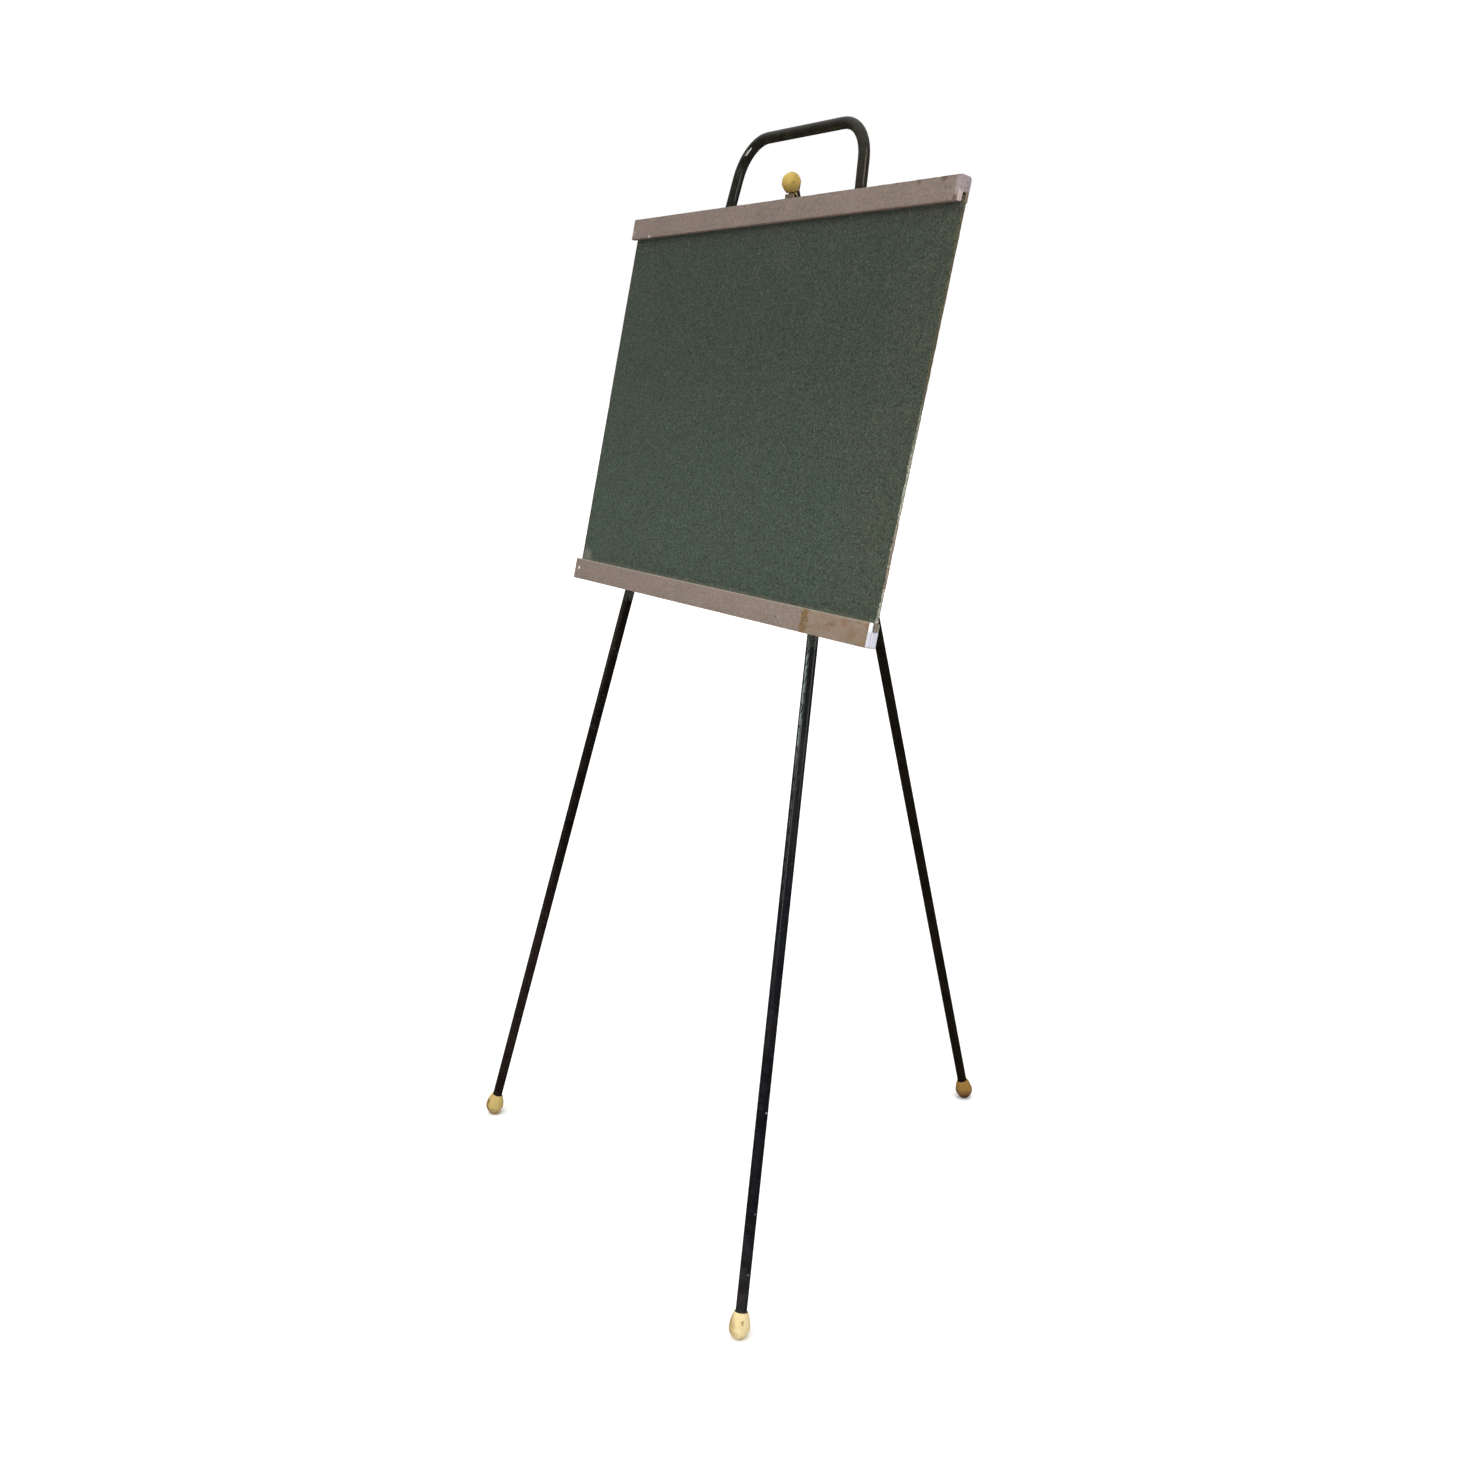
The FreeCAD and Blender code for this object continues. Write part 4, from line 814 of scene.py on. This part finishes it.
def bead_profile(girth, nose, tip, rise, rim, collar):
    """(radius, height) up a bead: round tip, belly, shoulder, rim, and the lacquer's collar on the tube."""
    belly = (girth ** 2 + (nose - tip) ** 2 - tip ** 2) / (2 * (girth - tip))
    flank = ((girth - rim) ** 2 + rise ** 2) / (2 * (girth - rim))
    join = math.atan2(tip - nose, belly - girth)
    profile = arc(0, tip - nose, tip, -math.pi / 2, join, 14)
    profile += arc(girth - belly, 0, belly, join, 0, 16)[1:]
    top = math.asin(rise / flank)
    profile += arc(girth - flank, 0, flank, 0, top, 18)[1:]
    soft = min(0.45 * MM, (rim - TUBE) * 0.35)
    profile += [(rim - soft * 0.3, rise + soft * 0.75), (rim - soft, rise + soft * 0.9)]
    sleeve = TUBE + 0.12 * MM
    rest = [((rim - soft) * (1 - t) + sleeve * t, rise + soft + collar * t) for t in (0.25, 0.6, 0.9, 1.0)]
    return profile + rest + [(TUBE - 0.2 * MM, rise + soft + collar + 0.15 * MM)], len(profile)


def make_bead(node, axis, sizes, collar, body, seed, flats, paint, dents=(), shift=(0, 0), bare=0):
    """Hand-turned bead with a slight ridge at its widest, whittled flats and dents; gives its centre.

    sizes are as in bead_profile, in mm. flats are (direction, mm from the centre) and dents
    (direction, width, depth). shift is how far it sits off its seat towards the front view's right
    and up, in mm, and bare how many of the collar's rows are free of lacquer.
    """
    centre, side, other, axis = (np.array(v) for v in bead_frame(node, axis))
    centre = centre + (np.array(front_right) * shift[0] + np.array(front_up) * shift[1]) * MM
    girth, nose, tip, rise, rim = (size * MM for size in sizes)
    profile, seat_from = bead_profile(girth, nose, tip, rise, rim, collar * MM)
    around = 72
    radius, height = (np.array(values)[:, None] for values in zip(*profile))
    turn = np.linspace(0, 2 * math.pi, around, endpoint=False)[None, :]
    cos, sin = np.cos(turn), np.sin(turn)
    rough = 0.28 * field(cos + 3, sin + height * 90, 0.8, 0.8, seed)
    rough = rough + 0.12 * field(cos * 3 + 9, sin * 3 + height * 260, 0.9, 0.9, seed + 1)
    crest = 0.22 * hump(height, 0, 0.7 * MM)
    grow = np.minimum(1.0, radius / (5 * MM))
    grow[seat_from:] = 0.3
    place = radius + (rough + crest) * MM * grow
    out = side * cos[..., None] + other * sin[..., None]
    points = centre + axis * height[..., None] + out * place[..., None]
    for direction, distance in flats:
        direction = np.array(direction)
        past = np.maximum((points - centre) @ direction - distance * MM, 0)
        past[seat_from:] = 0
        points = points - direction * past[..., None] * 0.9
    for direction, wide, deep in dents:
        gap = np.linalg.norm(points - (centre + np.array(direction) * girth), axis=2) / (wide * MM)
        pull = deep * MM * np.clip(1 - gap ** 2, 0, 1) ** 2
        inward = centre - points
        points = points + inward / np.linalg.norm(inward, axis=2)[..., None] * pull[..., None]
    lowest = min(v.co.z for v in nodes[node].data.vertices)
    if lowest < MM:
        points[..., 2] = np.maximum(points[..., 2], lowest)
    ridge = np.broadcast_to(hump(height, 0, 0.9 * MM), place.shape)
    seat = np.zeros(place.shape)
    seat[seat_from + bare:] = 1
    bead = new_piece(node + "_bead", points, body, (node,), "yellow_bead", 60, ridge=ridge, seat=seat)
    bead.data.materials.append(bead_look(node + "_paint", Vector(centre), girth, **paint))
    return Vector(centre)


def bead_look(name, centre, girth, base, tone, dirt, painted_shading, spots, collar=(0.010, 0.009, 0.009)):
    """Dirty, chipped paint on a turned bead.

    base and tone are its own two colours, and collar is the lacquer's. The painted shading entries are
    (direction, from, to, tint, share): painted shade and highlight across the bead; spots are (place in
    girths, mm, tint, share).
    """
    look = Look(name)
    colour = look.mix(look.blots(110, 4, 0.65, 0.38, 0.66), base, tone)
    away = look.vector("SCALE", look.vector("SUBTRACT", look.place, tuple(centre)), 1 / girth)
    # Painted shade and painted highlight: each entry darkens or lightens the bead towards one side.
    for direction, start, end, tint, share in painted_shading:
        mask = look.uneven(look.dot(away, direction), 130, 0.35, start, end)
        colour = look.over(colour, mask, share, tint)
    grime = look.noise(330, 4, 0.7)
    colour = look.over(colour, look.steps(grime, 0.55, 0.72), 0.4, dirt)
    colour = look.shade(colour, look.steps(look.noise(900, 3, 0.7), 0.3, 0.7, 0.9, 1.1))
    colour = look.over(colour, look.steps(look.value("ridge"), 0.3, 0.9), 0.35, tone)
    for place, size, tint, share in spots:
        mask = look.spot(centre + place * girth, size * MM, 0.45, 0.4, 420)
        colour = look.over(colour, mask, share, tint)
    colour = look.mix(look.steps(look.value("seat"), 0.45, 0.55), colour, collar)
    rough = look.steps(grime, 0.3, 0.7, 0.42, 0.65)
    height = look.plus(look.noise(1000, 3, 0.6), look.times(grime, 1.5))
    return look.finish(colour, rough, height, 0.00025, 0.5, 0.35)


def make_beads():
    """The three feet and the knob; gives the knob's centre."""
    make_bead(
        "right_foot", leg_axis(1), (13.9, 14.8, 12.2, 21.0, 9.3), 2.2, "frame", 101,
        flats=[(aim(0.80, -0.59, 0.05), 12.0), (aim(-0.50, -0.86, 0.05), 13.6),
               (aim(0.25, -0.80, 0.55), 13.4), (aim(-0.95, 0.25, 0.2), 13.6)],
        paint=dict(
            base=(0.630, 0.505, 0.262), tone=(0.680, 0.565, 0.310), dirt=(0.370, 0.250, 0.100),
            # Painted shade on the left side and on the lower side.
            painted_shading=[(aim(-1, 0, 0), 0.30, 0.95, (0.330, 0.220, 0.088), 0.8),
                   (aim(0, -1, 0), 0.35, 1.0, (0.620, 0.475, 0.250), 0.45)],
            spots=[(aim(-0.75, 0.62), 3.2, (0.33, 0.19, 0.075), 0.5),
                   (aim(0.206, 0.605, 0.770) * 1.26, 2.2, (0.27, 0.200, 0.080), 0.8),
                   (aim(0.209, 0.491, 0.846) * 1.17, 1.8, (0.29, 0.215, 0.088), 0.75),
                   (aim(0.0, -0.97), 1.1, (0.10, 0.06, 0.04), 0.9),
                   (aim(-0.45, -0.35), 3.4, (0.46, 0.33, 0.13), 0.5),
                   (aim(-0.50, 0.30), 3.0, (0.44, 0.33, 0.14), 0.45)]))
    make_bead(
        "left_foot", leg_axis(-1), (14.1, 15.5, 11.5, 19.5, 9.4), 1.2, "frame", 121, bare=2,
        flats=[(aim(0.75, -0.66, 0.05), 12.8), (aim(-0.8, -0.5, 0.3), 13.2)],
        dents=[(aim(-0.6, 0.35), 5, 0.6), (aim(-0.5, -0.4), 4, 0.5)],
        paint=dict(
            base=(0.415, 0.305, 0.104), tone=(0.465, 0.352, 0.128), dirt=(0.21, 0.125, 0.038),
            # Painted shade on the left side and on the lower side.
            painted_shading=[(aim(-0.95, -0.25, 0), 0.35, 0.90, (0.165, 0.097, 0.034), 0.8),
                   (aim(0, -1, 0), 0.1, 0.9, (0.290, 0.180, 0.076), 0.75)],
            spots=[(aim(-0.558, 0.569, 0.605) * 1.20, 3.2, (0.115, 0.062, 0.017), 0.8),
                   (aim(-0.673, 0.393, 0.628) * 1.08, 2.6, (0.13, 0.070, 0.020), 0.7),
                   (aim(-0.85, -0.15), 3.2, (0.170, 0.100, 0.035), 0.55),
                   (aim(-0.55, -0.50), 3.0, (0.20, 0.120, 0.045), 0.4)],
            collar=(0.0045, 0.0028, 0.0022)))
    make_bead(
        "rear_foot", rear_axis, (13.6, 16.0, 10.5, 18.5, 9.0), 1.0, "rear_leg", 141, bare=2,
        flats=[(aim(-0.8, -0.55, 0.1), 12.9)],
        paint=dict(
            base=(0.240, 0.128, 0.020), tone=(0.275, 0.156, 0.027), dirt=(0.100, 0.046, 0.013),
            # Painted shade on the lower side.
            painted_shading=[(aim(0, -1, 0), -0.2, 1.0, (0.072, 0.024, 0.009), 0.9)],
            spots=[(aim(-0.86, -0.2), 2.8, (0.11, 0.040, 0.014), 0.5),
                   (aim(0.85, -0.2), 3.6, (0.10, 0.034, 0.013), 0.7),
                   (aim(0.4, 0.5), 2.4, (0.11, 0.058, 0.018), 0.5)],
            collar=(0.0045, 0.0028, 0.0018)))
    return make_bead(
        "top_knob", -rear_axis, (13.1, 13.7, 10.2, 10.6, 9.6), 0.4, "rear_leg", 161, shift=(-1.1, 0.3),
        flats=[(aim(0.87, 0.49, 0.05), 11.7), (aim(-0.99, 0.1, 0.05), 12.6), (aim(-0.80, -0.60, 0.1), 11.6),
               (aim(-0.5, 0.84, 0.2), 12.6), (aim(0.98, -0.2, 0.05), 12.1), (aim(0.1, -0.5, 0.86), 12.4)],
        dents=[(aim(0.42, 0.80), 3.4, 1.0)],
        paint=dict(
            base=(0.415, 0.280, 0.062), tone=(0.480, 0.342, 0.082), dirt=(0.22, 0.145, 0.032),
            # Painted highlight on the upper left and painted shade on the lower side.
            painted_shading=[(aim(-0.45, 0.85, 0), 0.1, 0.9, (0.540, 0.410, 0.108), 0.7),
                   (aim(0.1, -1, 0), 0.1, 0.85, (0.250, 0.172, 0.034), 0.7)],
            spots=[(aim(0.42, 0.82), 2.0, (0.060, 0.050, 0.015), 0.9),
                   (aim(-0.93, 0.30), 1.3, (0.17, 0.080, 0.030), 0.8),
                   (aim(-0.96, -0.12), 1.1, (0.17, 0.080, 0.030), 0.7),
                   (aim(0.12, -0.35), 1.8, (0.24, 0.165, 0.035), 0.6),
                   (aim(0.80, -0.55), 3.0, (0.030, 0.020, 0.010), 0.85),
                   (aim(-0.55, -0.72), 2.8, (0.42, 0.30, 0.035), 0.6)]))


knob_centre = make_beads()


def make_drip():
    """A run of the knob's paint that has dried on the rod below it."""
    side, near = tube_sides(rear_axis)
    rings = []
    for step in np.linspace(0, 1, 26):
        turn = math.radians(12 + 34 * step)
        width = (1.15 - 0.45 * step + 0.35 * math.exp(-((step - 0.88) / 0.08) ** 2)) * MM
        width *= math.sqrt(max(0.02, 1 - step ** 12))
        out = near * math.cos(turn) + side * math.sin(turn)
        tangent = rear_axis.cross(out)
        foot = knob_centre - rear_axis * (11.5 + 12 * step) * MM + out * (TUBE - 0.15 * MM)
        ring = []
        for a in np.linspace(0, 2 * math.pi, 14, endpoint=False):
            ring.append(foot + tangent * width * math.cos(a) + out * 0.6 * width * (0.35 + math.sin(a)))
        rings.append(ring)
    drip = new_piece("knob_drip", rings, "rear_leg", (), "yellow_bead", 60)
    look = Look("knob_drip_paint")
    colour = look.mix(look.blots(500, 4, 0.7, 0.35, 0.65), (0.42, 0.31, 0.07), (0.52, 0.40, 0.10))
    rough = look.steps(look.noise(300), 0.3, 0.7, 0.35, 0.55)
    drip.data.materials.append(look.finish(colour, rough, look.noise(900), 0.0002, 0.5))


make_drip()


# ---- studio

def make_world():
    """White behind the object; what it reflects runs from a dark warm floor to a pale ceiling."""
    scene = bpy.context.scene
    scene.view_settings.view_transform = "Standard"
    look = Look("studio", bpy.data.worlds, "Background")
    scene.world = look.mat
    _, _, up = look.axes(look.node("TexCoord").outputs["Generated"])
    height = look.node("Math", {0: up, 1: 0.5, 2: 0.5}, operation="MULTIPLY_ADD").outputs[0]
    ramp = look.node("ValToRGB", {0: height})
    levels = ramp.color_ramp.elements  # the last one stays white
    levels[0].position = 0.38
    levels[0].color = (0.050, 0.036, 0.030, 1)
    levels.new(0.52).color = (0.16, 0.135, 0.12, 1)
    straight = look.node("LightPath").outputs["Is Camera Ray"]
    look.feed(look.shader.inputs[0], look.mix(straight, ramp.outputs[0], (1, 1, 1)))


def make_floor():
    half = 40
    mesh = bpy.data.meshes.new("floor")
    corners = [(-half, -half, 0), (half, -half, 0), (half, half, 0), (-half, half, 0)]
    mesh.from_pydata(corners, [], [(0, 1, 2, 3)])
    floor = new_object("floor", mesh)
    floor.visible_glossy = False
    look = Look("pale_floor")
    colour = look.mix(look.noise(3, 4, 0.5), (0.93, 0.93, 0.93), (0.95, 0.95, 0.95))
    mesh.materials.append(look.finish(colour, 0.9, specular=0.1))


def make_lamp(name, kind, place, target, power, tint, size=None):
    data = bpy.data.lights.new(name, kind)
    data.energy = power
    data.color = tint
    if size:
        data.shape = "RECTANGLE"
        data.size, data.size_y = size
    lamp = new_object(name, data)
    lamp.location = place
    lamp.rotation_euler = (Vector(target) - Vector(place)).to_track_quat("-Z", "Y").to_euler()
    return lamp


def make_studio():
    make_world()
    make_floor()
    sky = make_lamp("soft_sky", "SUN", (0.9, -1.6, 4), (0, 0, 0), 2.5, (1.0, 0.99, 0.97))
    sky.data.angle = math.radians(70)
    sky.visible_glossy = False
    make_lamp("left_window", "AREA", (1.3, -3.6, 1.45), (0.2, -0.1, 0.85), 14, (0.92, 1.0, 0.94), (0.16, 1.0))
    make_lamp("right_window", "AREA", (3.4, 1.6, 1.5), (0.3, 0, 0.9), 18, (0.90, 0.93, 1.0), (0.5, 1.5))


make_studio()
